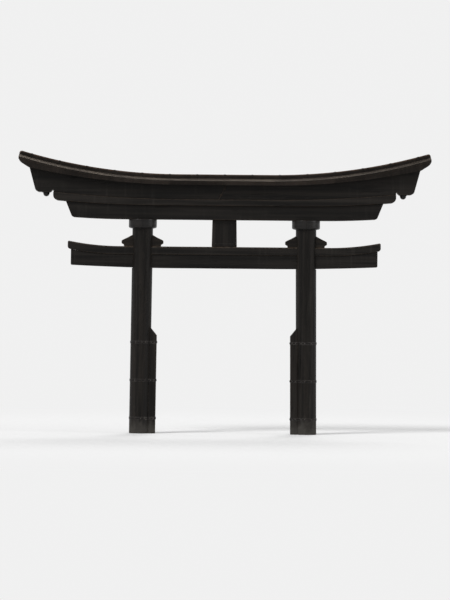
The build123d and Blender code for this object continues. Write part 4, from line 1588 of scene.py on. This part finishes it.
def pale_floor():
    """A matt grey with fine grit, which fades between 6 and 16 metres from the gate into the backdrop."""
    material, tree, shader, position = new_finish("pale floor", Roughness=0.9, Specular_IOR_Level=0.1)
    grit = clouds(position, (60.0, 60.0, 60.0), detail=3.0)
    colour = tint(grit, (0.785, 0.785, 0.785, 1), (0.815, 0.815, 0.815, 1))
    tree.links.new(colour, shader.inputs["Base Color"])
    far = put(tree, "VectorMath", {0: position, 1: (gate_middle, 0, 0)}, operation="DISTANCE")
    rays = put(tree, "LightPath").outputs
    seen = calc("MAXIMUM", rays["Is Camera Ray"], rays["Is Glossy Ray"])
    fade = times(ramp(far.outputs["Value"], 6.0, 16.0), seen)
    glow = put(tree, "Emission", {"Color": backdrop, "Strength": 1.0})
    mixed = put(tree, "MixShader", {0: fade, 1: shader.outputs[0], 2: glow.outputs[0]})
    tree.links.new(mixed.outputs[0], tree.nodes["Material Output"].inputs["Surface"])
    return material


floor_half = 60.0
floor_mesh = bpy.data.meshes.new("floor")
square = ((-1, -1), (1, -1), (1, 1), (-1, 1))
corners = [(gate_middle + x * floor_half, y * floor_half, 0.0) for x, y in square]
floor_mesh.from_pydata(corners, [], [(0, 1, 2, 3)])
floor_mesh.materials.append(pale_floor())
floor = bpy.data.objects.new("floor", floor_mesh)
bpy.context.scene.collection.objects.link(floor)

# %% [markdown]
# ## Light
#
# Black timber shows its shape by what it reflects, so the light is broad: an even world and three soft suns,
# of which the key comes from the upper left, a weaker one from the side draws the round of the pillars, and
# one from behind finds the roof's edges. Area lamps near by would light the floor in pools. The levels add up
# to a plain exposure, at which a mid grey renders as a mid grey.

# %% Light
scene = bpy.context.scene
scene.view_settings.view_transform = "Standard"
world = bpy.data.worlds.new("pale room")
scene.world = world
world.use_nodes = True
tree = world.node_tree
even = tree.nodes["Background"]
even.inputs["Color"].default_value = (1, 1, 1, 1)
even.inputs["Strength"].default_value = 0.42
seen_light = put(tree, "Background", {"Color": backdrop, "Strength": 1.0})
rays = put(tree, "LightPath").outputs
seen = calc("MAXIMUM", rays["Is Camera Ray"], rays["Is Glossy Ray"])
seen = calc("MAXIMUM", seen, rays["Is Transmission Ray"])
mixed = put(tree, "MixShader", {0: seen, 1: even.outputs[0], 2: seen_light.outputs[0]})
tree.links.new(mixed.outputs[0], tree.nodes["World Output"].inputs["Surface"])


def lamp(name, direction, softness, strength):
    """A soft light from far away, so that it falls alike on the whole floor. It shines from a direction, and
    softness is the angle in degrees under which it is seen."""
    light = bpy.data.lights.new(name, "SUN")
    light.angle, light.energy = math.radians(softness), strength
    made = bpy.data.objects.new(name, light)
    made.location = 20 * Vector(direction)
    made.rotation_euler = (-Vector(direction)).to_track_quat("-Z", "Y").to_euler()
    scene.collection.objects.link(made)
    print(name, "strength:", strength, "softness:", softness, "degrees")


lamp("key lamp", (-0.55, -0.52, 0.65), 22, 2.1)
lamp("side lamp", (0.90, -0.32, 0.30), 26, 0.7)
lamp("back lamp", (0.15, 0.70, 0.70), 26, 0.9)

# %% [markdown]
# ## Camera
#
# The picture is taken straight from the front and turned by half a degree. A long lens from far away keeps
# the lines as parallel as they are there.

# %% Camera
picture_metres, camera_far, roll = 13.08, 70.0, math.radians(0.522)
camera_data = bpy.data.cameras.new("camera")
camera_data.sensor_width = 36.0
camera_data.lens = camera_data.sensor_width * camera_far / picture_metres
camera_data.clip_end = 400.0
camera = bpy.data.objects.new("camera", camera_data)
camera.location = (gate_middle + 0.027, -camera_far, 2.918)
camera.rotation_euler = (math.pi / 2, -roll, 0)
scene.collection.objects.link(camera)
scene.camera = camera
print("lens:", round(camera_data.lens, 1), "mm from", camera_far, "metres")

# %% [markdown]
# ## Size
#
# The dressed gate has to stay in the box of its solids, so each piece clips its points to that box. The
# script closes by printing the number of triangles in all.

# %% Size and finish
print("triangles in all:", sum(made_faces.values()))
